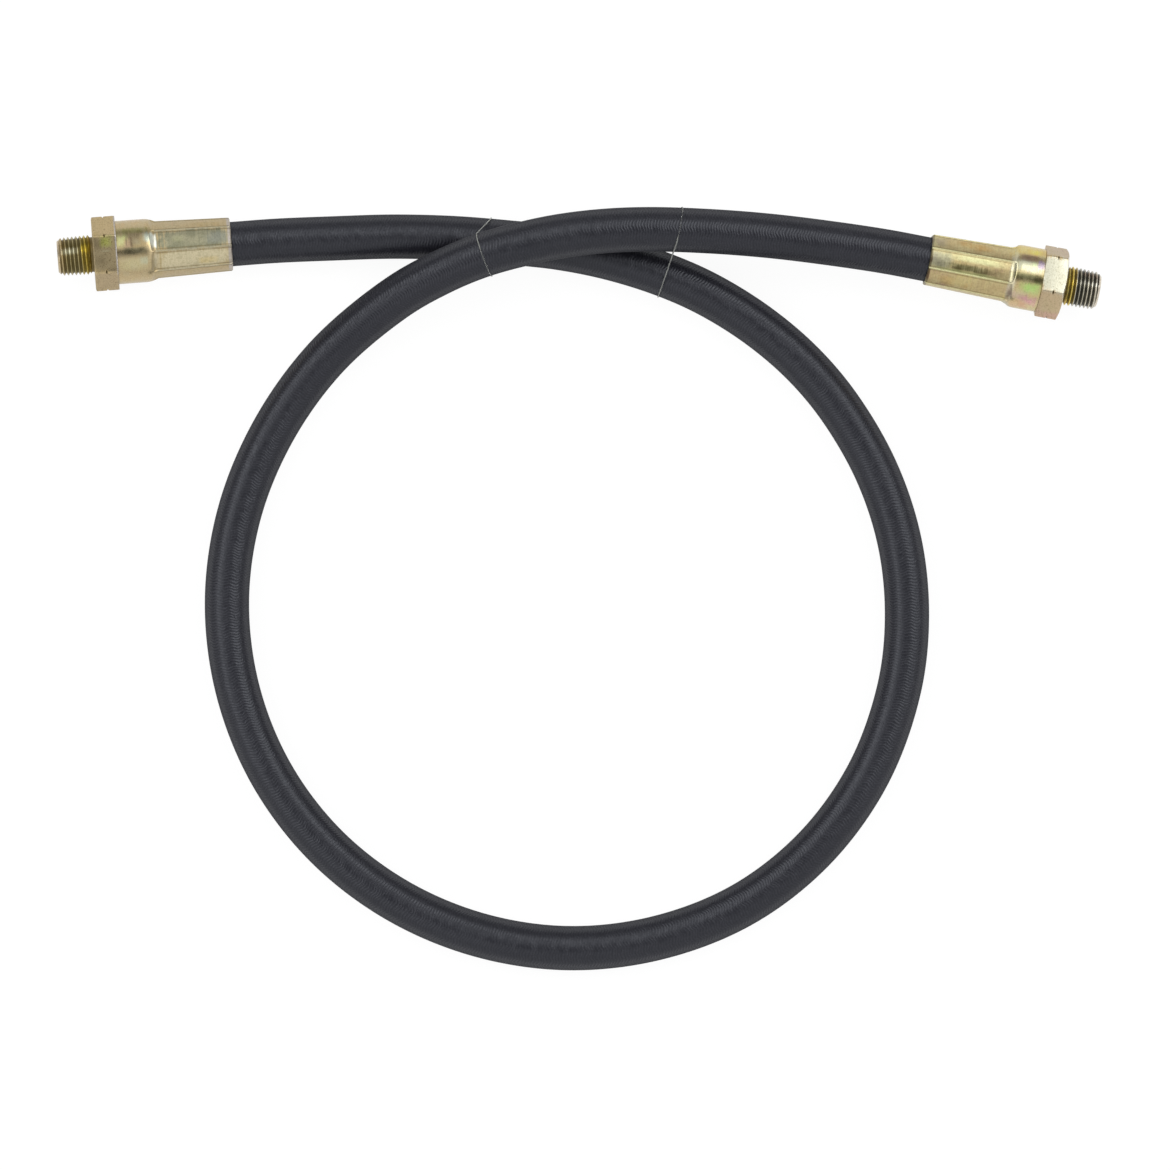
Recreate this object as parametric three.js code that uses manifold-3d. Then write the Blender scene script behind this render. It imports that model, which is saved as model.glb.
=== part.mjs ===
// A hydraulic hose assembly: a two-wire-braid hose lying in one open loop, with a crimped male
// taper-thread fitting on each end and two filament ties round the strands where they cross.
//
// Millimetres, +Z up. The origin is midway between the two end fittings, on the surface that the
// assembly lies on. +X runs from the left fitting to the right one, and the loop lies towards -Y.
//
// Each fitting is modelled along its own +Y axis, here called "along": 0 is the mouth of the ferrule,
// where the hose goes in, and it grows towards the tip of the thread.

import * as THREE from "three";
import { mergeVertices, toCreasedNormals } from "three/addons/utils/BufferGeometryUtils.js";
import Module from "manifold-3d";

const wasm = await Module();
wasm.setup();

// ---- Clearances ----

const SEAT_GAP = 0.3; // between two pieces that seat on each other
const LAYER_GAP = 0.15; // between one layer of the hose and the next
const STRAND_GAP = 0.6; // between the two strands where one lies over the other
const CUT_MARGIN = 1.0; // how far a cutter reaches past what it cuts

// ---- Hose, from the bore outwards ----

const BORE_DIAMETER = 6.4;
const TUBE_WALL = 1.3;
const BRAID_WALL = 0.5;
const MIDDLE_WALL = 0.3;
const COVER_WALL = 1.15;
const HOSE_STEPS = 48; // along the route
const COVER_SIDES = 12; // round the outside
const LAYER_SIDES = 8; // round each inner surface

// ---- Ferrule: the crimped shell ----

const FERRULE_LENGTH = 38.6;
const MOUTH_WALL = 0.7; // at the mouth, over the free hose
const CRIMP_RISE = 0.65; // how much the crimped shell grows from the mouth to the collar
const COLLAR_WALL = 2.55; // where no die has pressed it
const COLLAR_ROOM = 0.65; // between the hose and the collar's inside
const LIP_LENGTH = 4.0; // the inward lip that locks on the nipple
const SHOULDER_LENGTH = 4.0; // over which the collar rounds down to the crimp
const CRIMP_SQUEEZE = 0.5; // how far the shell presses into the cover
const TOOTH_COUNT = 4;
const TOOTH_HEIGHT = 0.25;
const TOOTH_WIDTH = 1.2;
const FIRST_LAND = 2.0; // from the mouth to where the bore first grips
const RIM_EDGE = 0.4; // how far the ferrule's outer edges are broken
const DIE_COUNT = 8;
const DIE_FLATTENING = 8.0; // how far each die's centre lies beyond the axis
const DIE_LEAD = 3.0; // the rounded end of a die
const FIN_WIDTH = 0.7; // the ridge that is left between two dies
const FIN_HEIGHT = 0.5;

// ---- Nipple: thread, hexagon and barbed stem in one piece ----

const FLOW_DIAMETER = 4.4;
const STEM_DIAMETER = 6.2;
const BARB_HEIGHT = 0.35;
const BARB_COUNT = 6;
const STEM_SETBACK = 2.5; // from the ferrule's mouth to the stem's nose
const STEM_NOSE = 1.0; // the length of the nose's taper
const NECK_DIAMETER = 12.4; // inside the ferrule's lip
const FLANGE_DIAMETER = 14.8; // behind the lip
const FLANGE_LENGTH = 4.0;
const HEX_ACROSS_FLATS = 22.0;
const HEX_WIDTH = 8.0;
const CHAMFER_ANGLE = THREE.MathUtils.degToRad(20);
const GROOVE_DEPTH = 0.55; // the turned V that nicks each corner of the hexagon
const GROOVE_HALF_WIDTH = 0.42;
const THREAD_DIAMETER = 13.16; // R 1/4, over the crests at the gauge plane
const THREAD_LENGTH = 12.2;
const GAUGE_LENGTH = 6.0; // from the tip to the gauge plane
const THREAD_TAPER = 1 / 16; // on the diameter
const THREAD_DEPTH = 0.86;
const UNDERCUT_WIDTH = 1.5;
const TIP_CHAMFER = 1.5;
const COUNTERSINK = 0.5; // at the tip's way in

// ---- Ties ----

const TIE_DIAMETER = 0.4;
const TIE_STEPS = 40; // once round both strands
const TIE_SIDES = 5;

// ---- Where each fitting lies, and what differs between the two ----

// The mouth is where the hose goes in. The angles are in degrees: the heading is the way that the
// thread points, the tilt lifts the thread's end, and the two turns are about the fitting's own axis.
const SIDES = {
  left: {
    mouth: [-118.2, 8.5],
    heading: 184.4,
    tilt: 3.4,
    hexTurn: -3.2,
    crimpTurn: -5.0,
    collarLength: 13.2, // the part of the ferrule that no die has pressed
    hexFaceDiameter: 24.0, // the flat face that the chamfer leaves on the thread side
  },
  right: {
    mouth: [118.3, 3.1],
    heading: -10.5,
    tilt: -3.0,
    hexTurn: -13.0,
    crimpTurn: -26.0,
    collarLength: 11.3,
    hexFaceDiameter: 21.4,
  },
};

// ---- Sizes that follow from those above ----

const DIE_ANGLE = (2 * Math.PI) / DIE_COUNT;
const TURNED_SEGMENTS = 4 * DIE_COUNT; // so that every fin has a vertex on its crest
const DIE_SEGMENTS = 8 * DIE_COUNT;
const BORED_SEGMENTS = 2 * DIE_COUNT;

// The hose's layers, each from its inner to its outer radius.
const layers = stackLayers([
  ["hose_inner_tube", TUBE_WALL],
  ["hose_inner_braid", BRAID_WALL],
  ["hose_middle_layer", MIDDLE_WALL],
  ["hose_outer_braid", BRAID_WALL],
  ["hose_outer_cover", COVER_WALL],
]);
const coverRadius = layers.hose_outer_cover.outer;

const mouthRadius = coverRadius + SEAT_GAP + MOUTH_WALL;
const collarRadius = coverRadius + COLLAR_ROOM + COLLAR_WALL;
const lipStart = FERRULE_LENGTH - LIP_LENGTH;
const flangeStart = lipStart - SEAT_GAP - FLANGE_LENGTH;
const hoseDepth = flangeStart - SEAT_GAP; // from the mouth to the hose's cut end
const hexBack = FERRULE_LENGTH + SEAT_GAP;
const hexFront = hexBack + HEX_WIDTH;
const threadTip = hexFront + THREAD_LENGTH;
const hexCornerRadius = HEX_ACROSS_FLATS / 2 / Math.cos(Math.PI / 6);

// Heights of the hose's centreline above the surface.
const lying = coverRadius;
const overTie = coverRadius + SEAT_GAP + TIE_DIAMETER;
const overStrand = overTie + 2 * coverRadius + STRAND_GAP;

function stackLayers(walls) {
  const stack = {};
  let radius = BORE_DIAMETER / 2;
  for (const [name, wall] of walls) {
    stack[name] = { inner: radius, outer: radius + wall };
    radius += wall + LAYER_GAP;
  }
  return stack;
}

const radians = THREE.MathUtils.degToRad;
const crimpLength = (side) => FERRULE_LENGTH - side.collarLength;
const hexChamfer = (side) =>
  (hexCornerRadius - side.hexFaceDiameter / 2) * Math.tan(CHAMFER_ANGLE);

// The height of a fitting's axis at its mouth: whatever reaches lowest rests on the surface, which
// may be a corner of the hexagon, the collar or the rim of the mouth.
function mouthHeight(side) {
  const tilt = radians(side.tilt);
  const lowestCorner = hexCornerRadius * Math.cos(Math.PI / 6 - Math.abs(radians(side.hexTurn)));
  const rests = [
    [mouthRadius + FIN_HEIGHT, RIM_EDGE],
    [collarRadius, crimpLength(side) + SHOULDER_LENGTH],
    [collarRadius, FERRULE_LENGTH - RIM_EDGE],
    [lowestCorner, hexBack],
    [lowestCorner, hexFront - hexChamfer(side)],
  ];
  return Math.max(...rests.map(([radius, along]) => radius * Math.cos(tilt) - along * Math.sin(tilt)));
}

// ---- The hose's route ----

// Heights are steps between two of the named ones, so that the strands stay clear at any hose size.
function between(low, high, share) {
  return low + share * (high - low);
}

// A point on a fitting's axis, this far out of the ferrule's mouth. Inside the ferrule it is negative.
function onAxis(side, out) {
  const heading = radians(side.heading);
  const tilt = radians(side.tilt);
  const level = out * Math.cos(tilt);
  const [x, y] = side.mouth;
  const height = mouthHeight(side) - out * Math.sin(tilt);
  return [x - level * Math.cos(heading), y - level * Math.sin(heading), height];
}

// The route from the hose's cut end in the left ferrule, under the crossing, once round the loop,
// over the crossing and into the right ferrule.
function hoseRoute() {
  const { left, right } = SIDES;
  const straight = 2 * coverRadius;
  const rightHeight = mouthHeight(right);
  const points = [
    onAxis(left, -hoseDepth),
    onAxis(left, 0),
    onAxis(left, straight),
    [-83.6, 10.5, between(lying, overTie, 0.15)],
    [-63.3, 11.1, between(lying, overTie, 0.4)],
    [-43.0, 10.6, overTie],
    [-24.0, 9.1, overTie],
    [-6.3, 7.2, overTie],
    [11.4, 3.6, overTie],
    [29.4, -2.1, overTie],
    [44.7, -9.0, overTie],
    [61.5, -19.6, between(lying, overTie, 0.4)],
    [76.5, -32.5, lying],
    [89.1, -47.7, lying],
    [101.3, -69.1, lying],
    [109.0, -92.7, lying],
    [111.5, -117.6, lying],
    [108.8, -142.7, lying],
    [98.4, -171.5, lying],
    [80.4, -196.6, lying],
    [56.0, -215.8, lying],
    [27.1, -227.2, lying],
    [-3.6, -230.8, lying],
    [-34.0, -226.3, lying],
    [-62.3, -214.3, lying],
    [-86.5, -195.6, lying],
    [-104.9, -171.1, lying],
    [-116.1, -142.8, lying],
    [-119.7, -112.6, lying],
    [-115.4, -82.6, lying],
    [-103.8, -54.7, between(lying, overStrand, 0.02)],
    [-86.0, -30.1, between(lying, overStrand, 0.14)],
    [-62.6, -10.4, between(lying, overStrand, 0.5)],
    [-46.7, -1.5, between(lying, overStrand, 0.79)],
    [-33.3, 4.0, between(lying, overStrand, 0.95)],
    [-19.8, 7.8, overStrand],
    [-6.4, 10.6, overStrand],
    [8.8, 12.4, between(rightHeight, overStrand, 0.97)],
    [24.1, 13.0, between(rightHeight, overStrand, 0.87)],
    [44.4, 12.4, between(rightHeight, overStrand, 0.67)],
    [64.7, 10.9, between(rightHeight, overStrand, 0.47)],
    [85.1, 8.5, between(rightHeight, overStrand, 0.285)],
    onAxis(right, straight),
    onAxis(right, 0),
    onAxis(right, -hoseDepth),
  ].map((point) => new THREE.Vector3(...point));
  const route = new THREE.CatmullRomCurve3(points, false, "centripetal");
  route.arcLengthDivisions = 1000;
  return route;
}

// ---- Solids ----

// A closed three.js geometry as a solid that can be joined and cut.
function solidOf(geometry) {
  const bare = geometry.clone();
  bare.deleteAttribute("normal");
  bare.deleteAttribute("uv");
  const merged = mergeVertices(bare, 1e-4);
  return new wasm.Manifold(
    new wasm.Mesh({
      numProp: 3,
      vertProperties: merged.attributes.position.array,
      triVerts: new Uint32Array(merged.index.array),
    }),
  );
}

// A solid as a three.js geometry whose normals are smooth up to 30 degrees.
function geometryOf(solid) {
  const { numProp, vertProperties, triVerts, numVert } = solid.getMesh();
  const positions = new Float32Array(3 * numVert);
  for (let i = 0; i < numVert; i++) {
    positions.set(vertProperties.subarray(i * numProp, i * numProp + 3), 3 * i);
  }
  const geometry = new THREE.BufferGeometry();
  geometry.setAttribute("position", new THREE.BufferAttribute(positions, 3));
  geometry.setIndex(new THREE.BufferAttribute(triVerts, 1));
  return toCreasedNormals(geometry, Math.PI / 6);
}

// A turned solid about +Y. The profile lists [radius, along] with along growing where it faces out.
function turned(profile, segments) {
  const points = profile.map(([radius, along]) => new THREE.Vector2(radius, along));
  return new THREE.LatheGeometry(points, segments);
}

// A turned solid with a hole down the middle: the outside profile up, and the inside profile back.
function turnedRing(outside, inside, segments) {
  const loop = [...outside, ...[...inside].reverse()];
  return turned([...loop, loop[0]], segments);
}

// A ring of straight sides, as points round a circle.
function polygon(radius, sides) {
  const corners = [];
  for (let i = 0; i < sides; i++) {
    const angle = (2 * Math.PI * i) / sides;
    corners.push(new THREE.Vector2(radius * Math.cos(angle), radius * Math.sin(angle)));
  }
  return corners;
}

// ---- Hose ----

function hoseLayer(route, { inner, outer }, outerSides) {
  const section = new THREE.Shape(polygon(outer, outerSides));
  section.holes.push(new THREE.Path(polygon(inner, LAYER_SIDES)));
  return new THREE.ExtrudeGeometry(section, { steps: HOSE_STEPS, extrudePath: route });
}

// ---- Ferrule ----

// The inside of the ferrule from the mouth to its lip: toothed lands in the crimp, then the cavity.
function ferruleBore(side) {
  const land = coverRadius + SEAT_GAP - CRIMP_SQUEEZE;
  const tooth = land - TOOTH_HEIGHT;
  const mouth = coverRadius + SEAT_GAP;
  const cavity = coverRadius + COLLAR_ROOM;
  const pitch = (crimpLength(side) - FIRST_LAND) / TOOTH_COUNT;
  const profile = [
    [mouth, 0],
    [mouth, FIRST_LAND / 2],
    [land, FIRST_LAND],
  ];
  for (let i = 0; i < TOOTH_COUNT; i++) {
    const crest = FIRST_LAND + (i + 0.5) * pitch;
    profile.push([land, crest - TOOTH_WIDTH / 2], [tooth, crest], [land, crest + TOOTH_WIDTH / 2]);
  }
  profile.push([land, crimpLength(side)], [cavity, crimpLength(side) + COLLAR_ROOM]);
  return profile;
}

// The outside before the dies close: the collar rounds down to the crests of the fins.
function ferruleOutside(side) {
  const shoulder = crimpLength(side);
  const crest = mouthRadius + CRIMP_RISE + FIN_HEIGHT;
  const profile = [
    [mouthRadius + FIN_HEIGHT - RIM_EDGE, 0],
    [mouthRadius + FIN_HEIGHT, RIM_EDGE],
    [crest, shoulder],
  ];
  const drop = collarRadius - crest;
  for (const share of [0.25, 0.5, 0.75, 1]) {
    const height = Math.sin((share * Math.PI) / 2);
    profile.push([crest + drop * height, shoulder + share * SHOULDER_LENGTH]);
  }
  profile.push([collarRadius, FERRULE_LENGTH - RIM_EDGE]);
  profile.push([collarRadius - RIM_EDGE, FERRULE_LENGTH]);
  return profile;
}

// One die: a slice of a ring that is flatter than the shell, with a rounded end towards the collar.
function crimpDie(side, turn) {
  const far = collarRadius + CUT_MARGIN + DIE_FLATTENING;
  const face = (along) =>
    mouthRadius + (CRIMP_RISE * along) / crimpLength(side) + DIE_FLATTENING;
  const end = crimpLength(side);
  const inside = [[face(-CUT_MARGIN), -CUT_MARGIN], [face(end), end]];
  for (const share of [0.4, 0.75, 1]) {
    const rise = 1 - Math.cos((share * Math.PI) / 2);
    inside.push([face(end) + rise * (collarRadius - mouthRadius), end + share * DIE_LEAD]);
  }
  const outside = [[far, -CUT_MARGIN], [far, end + DIE_LEAD]];
  const ring = turnedRing(outside, inside, DIE_SEGMENTS);
  ring.translate(0, 0, -DIE_FLATTENING);
  const halfAngle = DIE_ANGLE / 2 - FIN_WIDTH / 2 / mouthRadius;
  const reach = 2 * far;
  const wedge = new THREE.ExtrudeGeometry(
    new THREE.Shape([
      new THREE.Vector2(0, 0),
      new THREE.Vector2(reach * Math.cos(halfAngle), -reach * Math.sin(halfAngle)),
      new THREE.Vector2(reach * Math.cos(halfAngle), reach * Math.sin(halfAngle)),
    ]),
    { depth: end + DIE_LEAD + 4 * CUT_MARGIN, bevelEnabled: false },
  );
  wedge.rotateX(-Math.PI / 2); // its length along +Y, its middle along +X
  wedge.rotateY(-Math.PI / 2); // its middle along +Z, as the ring's flattened side
  wedge.translate(0, -2 * CUT_MARGIN, 0);
  ring.rotateY(turn);
  wedge.rotateY(turn);
  return solidOf(ring).intersect(solidOf(wedge));
}

function ferrule(side) {
  const cavity = coverRadius + COLLAR_ROOM;
  const lipRadius = NECK_DIAMETER / 2 + SEAT_GAP;
  const inside = [
    ...ferruleBore(side),
    [cavity, lipStart],
    [lipRadius, lipStart],
    [lipRadius, FERRULE_LENGTH],
  ];
  const outside = solidOf(turned(closedOnAxis(ferruleOutside(side)), TURNED_SEGMENTS));
  const bore = solidOf(turned(closedOnAxis(pastBothEnds(inside)), BORED_SEGMENTS));
  let shell = outside.subtract(bore);
  for (let i = 0; i < DIE_COUNT; i++) {
    shell = shell.subtract(crimpDie(side, (i + 0.5) * DIE_ANGLE));
  }
  return shell;
}

function closedOnAxis(profile) {
  return [[0, profile[0][1]], ...profile, [0, profile.at(-1)[1]]];
}

// The same profile with its two ends carried on, so that a cut comes out clean.
function pastBothEnds(profile) {
  const [first, last] = [profile[0], profile.at(-1)];
  return [[first[0], first[1] - CUT_MARGIN], ...profile, [last[0], last[1] + CUT_MARGIN]];
}

// What the ferrule presses out of the cover: everything outside its bore, less the gap.
function crimpImprint(side) {
  const pressed = ferruleBore(side).map(([radius, along]) => [radius - SEAT_GAP, along]);
  const beyond = hoseDepth + CUT_MARGIN;
  const far = coverRadius + 2 * CUT_MARGIN;
  const inside = [...pressed, [coverRadius + COLLAR_ROOM - SEAT_GAP, beyond]];
  return turnedRing([[far, 0], [far, beyond]], inside, BORED_SEGMENTS);
}

// ---- Nipple ----

// The barbed stem from its nose to the flange, grown by gap all round.
function stemProfile(gap) {
  const root = STEM_DIAMETER / 2 + gap;
  const pitch = (flangeStart - STEM_SETBACK - 2 * STEM_NOSE) / BARB_COUNT;
  const profile = [
    [root - STEM_NOSE / 2, STEM_SETBACK - gap],
    [root, STEM_SETBACK + STEM_NOSE],
  ];
  for (let i = 1; i <= BARB_COUNT; i++) {
    const crest = STEM_SETBACK + STEM_NOSE + i * pitch;
    profile.push([root + BARB_HEIGHT, crest - BARB_HEIGHT], [root, crest]);
  }
  return profile;
}

// The threaded end over its crests, from the hexagon's face to the chamfered tip.
function threadProfile() {
  const radiusAt = (along) =>
    THREAD_DIAMETER / 2 + ((threadTip - GAUGE_LENGTH - along) * THREAD_TAPER) / 2;
  const relief = radiusAt(hexFront) - THREAD_DEPTH;
  const chamferStart = threadTip - TIP_CHAMFER;
  return [
    [relief, hexFront],
    [relief, hexFront + UNDERCUT_WIDTH - THREAD_DEPTH],
    [radiusAt(hexFront + UNDERCUT_WIDTH), hexFront + UNDERCUT_WIDTH],
    [radiusAt(chamferStart), chamferStart],
    [radiusAt(threadTip) - THREAD_DEPTH * 1.4, threadTip],
  ];
}

function hexagon(side) {
  const blank = new THREE.ExtrudeGeometry(new THREE.Shape(polygon(hexCornerRadius, 6)), {
    depth: HEX_WIDTH,
    bevelEnabled: false,
  });
  blank.rotateX(-Math.PI / 2); // its axis along +Y, two of its flats square to +Z
  blank.translate(0, hexBack, 0);
  const far = hexCornerRadius + CUT_MARGIN;
  const chamfered = turned(
    [
      [0, hexBack - CUT_MARGIN],
      [far, hexBack - CUT_MARGIN],
      [far, hexFront - hexChamfer(side) - CUT_MARGIN * Math.tan(CHAMFER_ANGLE)],
      [side.hexFaceDiameter / 2, hexFront],
      [0, hexFront],
    ],
    TURNED_SEGMENTS,
  );
  const middle = hexBack + HEX_WIDTH / 2;
  const spread = (GROOVE_HALF_WIDTH * (GROOVE_DEPTH + CUT_MARGIN)) / GROOVE_DEPTH;
  const groove = turnedRing(
    [[far, middle - spread], [far, middle + spread]],
    [[hexCornerRadius - GROOVE_DEPTH, middle]],
    2 * TURNED_SEGMENTS,
  );
  return solidOf(blank).intersect(solidOf(chamfered)).subtract(solidOf(groove));
}

function nipple(side) {
  const neck = NECK_DIAMETER / 2;
  const flange = FLANGE_DIAMETER / 2;
  const flowRadius = FLOW_DIAMETER / 2;
  const stem = solidOf(turned(closedOnAxis([
    ...stemProfile(0),
    [STEM_DIAMETER / 2, flangeStart],
    [flange, flangeStart],
    [flange, flangeStart + FLANGE_LENGTH],
    [neck, flangeStart + FLANGE_LENGTH],
    [neck, hexBack + CUT_MARGIN],
  ]), BORED_SEGMENTS));
  const [root, ...crests] = threadProfile();
  const profile = [[root[0], hexFront - CUT_MARGIN], ...crests];
  const thread = solidOf(turned(closedOnAxis(profile), TURNED_SEGMENTS));
  const flow = solidOf(turned(closedOnAxis([
    [flowRadius, 0],
    [flowRadius, threadTip - COUNTERSINK],
    [flowRadius + COUNTERSINK + CUT_MARGIN, threadTip + CUT_MARGIN],
  ]), BORED_SEGMENTS));
  return hexagon(side).add(stem).add(thread).subtract(flow);
}

// What the stem presses out of the inner tube.
function stemImprint() {
  const root = STEM_DIAMETER / 2 + SEAT_GAP;
  const profile = [...stemProfile(SEAT_GAP), [root, hoseDepth + CUT_MARGIN]];
  return turned(closedOnAxis(profile), BORED_SEGMENTS);
}

// ---- Ties ----

// Where the hose's straight steps cross an upright plane, within reach of a place on it.
function crossings(route, place, normal, reach) {
  const samples = route.getSpacedPoints(HOSE_STEPS);
  const found = [];
  for (let i = 1; i < samples.length; i++) {
    const before = samples[i - 1].clone().sub(place).dot(normal);
    const after = samples[i].clone().sub(place).dot(normal);
    if (before * after > 0) continue;
    const point = samples[i - 1].clone().lerp(samples[i], before / (before - after));
    if (point.distanceTo(place) < reach) found.push(point);
  }
  return found;
}

// A filament drawn once round the two strands: half a turn round each and a straight run between.
function tie(route, { place: [x, y], turn }) {
  const place = new THREE.Vector3(x, y, overTie);
  const angle = radians(turn);
  const normal = new THREE.Vector3(Math.cos(angle), Math.sin(angle), 0);
  const [under, over] = crossings(route, place, normal, 4 * coverRadius);
  const up = over.clone().sub(under).normalize();
  const across = new THREE.Vector3().crossVectors(normal, up);
  const radius = coverRadius + SEAT_GAP + TIE_DIAMETER / 2;
  const stepsEach = TIE_STEPS / 4;
  const points = [];
  for (const [centre, sign] of [[under, -1], [over, 1]]) {
    for (let i = 0; i <= stepsEach; i++) {
      const sweep = (Math.PI * i) / stepsEach;
      points.push(
        centre
          .clone()
          .addScaledVector(across, sign * radius * Math.cos(sweep))
          .addScaledVector(up, sign * radius * Math.sin(sweep)),
      );
    }
  }
  const loop = new THREE.CatmullRomCurve3(points, true, "centripetal");
  return new THREE.TubeGeometry(loop, TIE_STEPS, TIE_DIAMETER / 2, TIE_SIDES, true);
}

const TIES = {
  left_tie: { place: [-31.6, 7.0], turn: 8 },
  right_tie: { place: [31.8, 5.0], turn: -12 },
};

// ---- Materials ----

const rubber = () => new THREE.MeshStandardMaterial({ color: 0x37383c, roughness: 0.62 });
const innerRubber = () => new THREE.MeshStandardMaterial({ color: 0x1c1c1d, roughness: 0.8 });
const braidWire = () =>
  new THREE.MeshStandardMaterial({ color: 0xb9a36a, roughness: 0.4, metalness: 1 });
const yellowZinc = () =>
  new THREE.MeshStandardMaterial({ color: 0xb8a578, roughness: 0.38, metalness: 1 });
const filament = () => new THREE.MeshStandardMaterial({ color: 0xb9bab2, roughness: 0.25 });

const layerMaterials = {
  hose_inner_tube: innerRubber,
  hose_inner_braid: braidWire,
  hose_middle_layer: innerRubber,
  hose_outer_braid: braidWire,
  hose_outer_cover: rubber,
};

// ---- Assembly ----

function named(name, geometry, material) {
  const mesh = new THREE.Mesh(geometry, material);
  mesh.name = name;
  return mesh;
}

function fittingPlace(side) {
  const group = new THREE.Group();
  group.position.set(...onAxis(side, 0));
  const heading = radians(side.heading) - Math.PI / 2;
  group.rotation.set(radians(side.tilt), radians(side.hexTurn), heading, "ZXY");
  group.updateMatrix();
  return group;
}

function fitting(name, side) {
  const place = fittingPlace(side);
  const shell = named(`${name}_ferrule`, geometryOf(ferrule(side)), yellowZinc());
  shell.rotation.y = radians(side.crimpTurn - side.hexTurn);
  place.add(shell);
  place.add(named(`${name}_nipple`, geometryOf(nipple(side)), yellowZinc()));
  return place;
}

// A cutter made in a fitting's own frame, moved to where the fitting lies.
function placed(geometry, side) {
  return solidOf(geometry.applyMatrix4(fittingPlace(side).matrix));
}

function hose(route) {
  const group = new THREE.Group();
  for (const [name, radii] of Object.entries(layers)) {
    const isCover = name === "hose_outer_cover";
    const isTube = name === "hose_inner_tube";
    let layer = solidOf(hoseLayer(route, radii, isCover ? COVER_SIDES : LAYER_SIDES));
    for (const side of Object.values(SIDES)) {
      if (isCover) layer = layer.subtract(placed(crimpImprint(side), side));
      if (isTube) layer = layer.subtract(placed(stemImprint(), side));
    }
    group.add(named(name, geometryOf(layer), layerMaterials[name]()));
  }
  return group;
}

// The least gap between two strands of the hose, measured between points on its centreline.
function leastGapToItself(route) {
  const count = 500;
  const points = route.getSpacedPoints(count);
  const apart = Math.ceil((6 * coverRadius) / (route.getLength() / count));
  let least = Infinity;
  for (let i = 0; i < count; i++) {
    for (let j = i + apart; j <= count; j++) {
      least = Math.min(least, points[i].distanceTo(points[j]));
    }
  }
  return least - 2 * coverRadius;
}

const route = hoseRoute();
console.log(`hose length ${route.getLength().toFixed(1)} mm`);
console.log(`least gap of the hose to itself ${leastGapToItself(route).toFixed(2)} mm`);

const assembly = new THREE.Group();
assembly.name = "hydraulic_hose_assembly";
assembly.add(hose(route));
for (const [name, side] of Object.entries(SIDES)) assembly.add(fitting(name, side));
for (const [name, where] of Object.entries(TIES)) assembly.add(named(name, tie(route, where), filament()));

export default assembly;
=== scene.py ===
"""Dresses a hydraulic hose assembly: a rubber hose in one open loop, with a crimped fitting at each end.

Lengths are in metres, in the row frame: +X runs from the left fitting to the right one, +Z is up from the
surface that the assembly lies on, and the loop lies towards -Y. A fitting is made along its own +Y axis,
called "along" here: 0 is the mouth of the ferrule, and it grows towards the tip of the thread.
"""

from __future__ import annotations

import logging
import math
from collections.abc import Mapping, Sequence
from dataclasses import dataclass, field
from enum import Enum

import bpy
import numpy as np
from bpy.types import Curve, Material, Mesh, NodeSocket, NodeTree, Object
from mathutils import Matrix, Vector

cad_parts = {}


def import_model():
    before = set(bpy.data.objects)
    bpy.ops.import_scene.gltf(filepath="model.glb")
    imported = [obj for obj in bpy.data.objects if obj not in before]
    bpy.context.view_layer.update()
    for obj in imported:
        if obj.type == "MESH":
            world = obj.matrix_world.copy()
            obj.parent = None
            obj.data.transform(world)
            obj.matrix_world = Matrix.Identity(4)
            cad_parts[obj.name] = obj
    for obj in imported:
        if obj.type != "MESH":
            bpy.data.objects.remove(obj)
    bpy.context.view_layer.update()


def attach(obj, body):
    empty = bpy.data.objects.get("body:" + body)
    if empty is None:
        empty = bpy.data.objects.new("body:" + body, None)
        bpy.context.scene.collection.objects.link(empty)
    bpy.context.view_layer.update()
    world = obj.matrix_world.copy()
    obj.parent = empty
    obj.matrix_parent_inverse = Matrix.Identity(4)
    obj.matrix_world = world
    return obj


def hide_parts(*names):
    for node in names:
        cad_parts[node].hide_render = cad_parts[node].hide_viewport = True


LOG = logging.getLogger("hose_assembly")
BODY = "root"
FULL = 2 * math.pi

Array = np.ndarray
Colour = Point = Three = tuple[float, float, float]
Pair = tuple[float, float]
StainAndLightRow = tuple[float | Colour, ...]
Row = tuple[Array | float, Array | float, float]


# Shader maths


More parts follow.
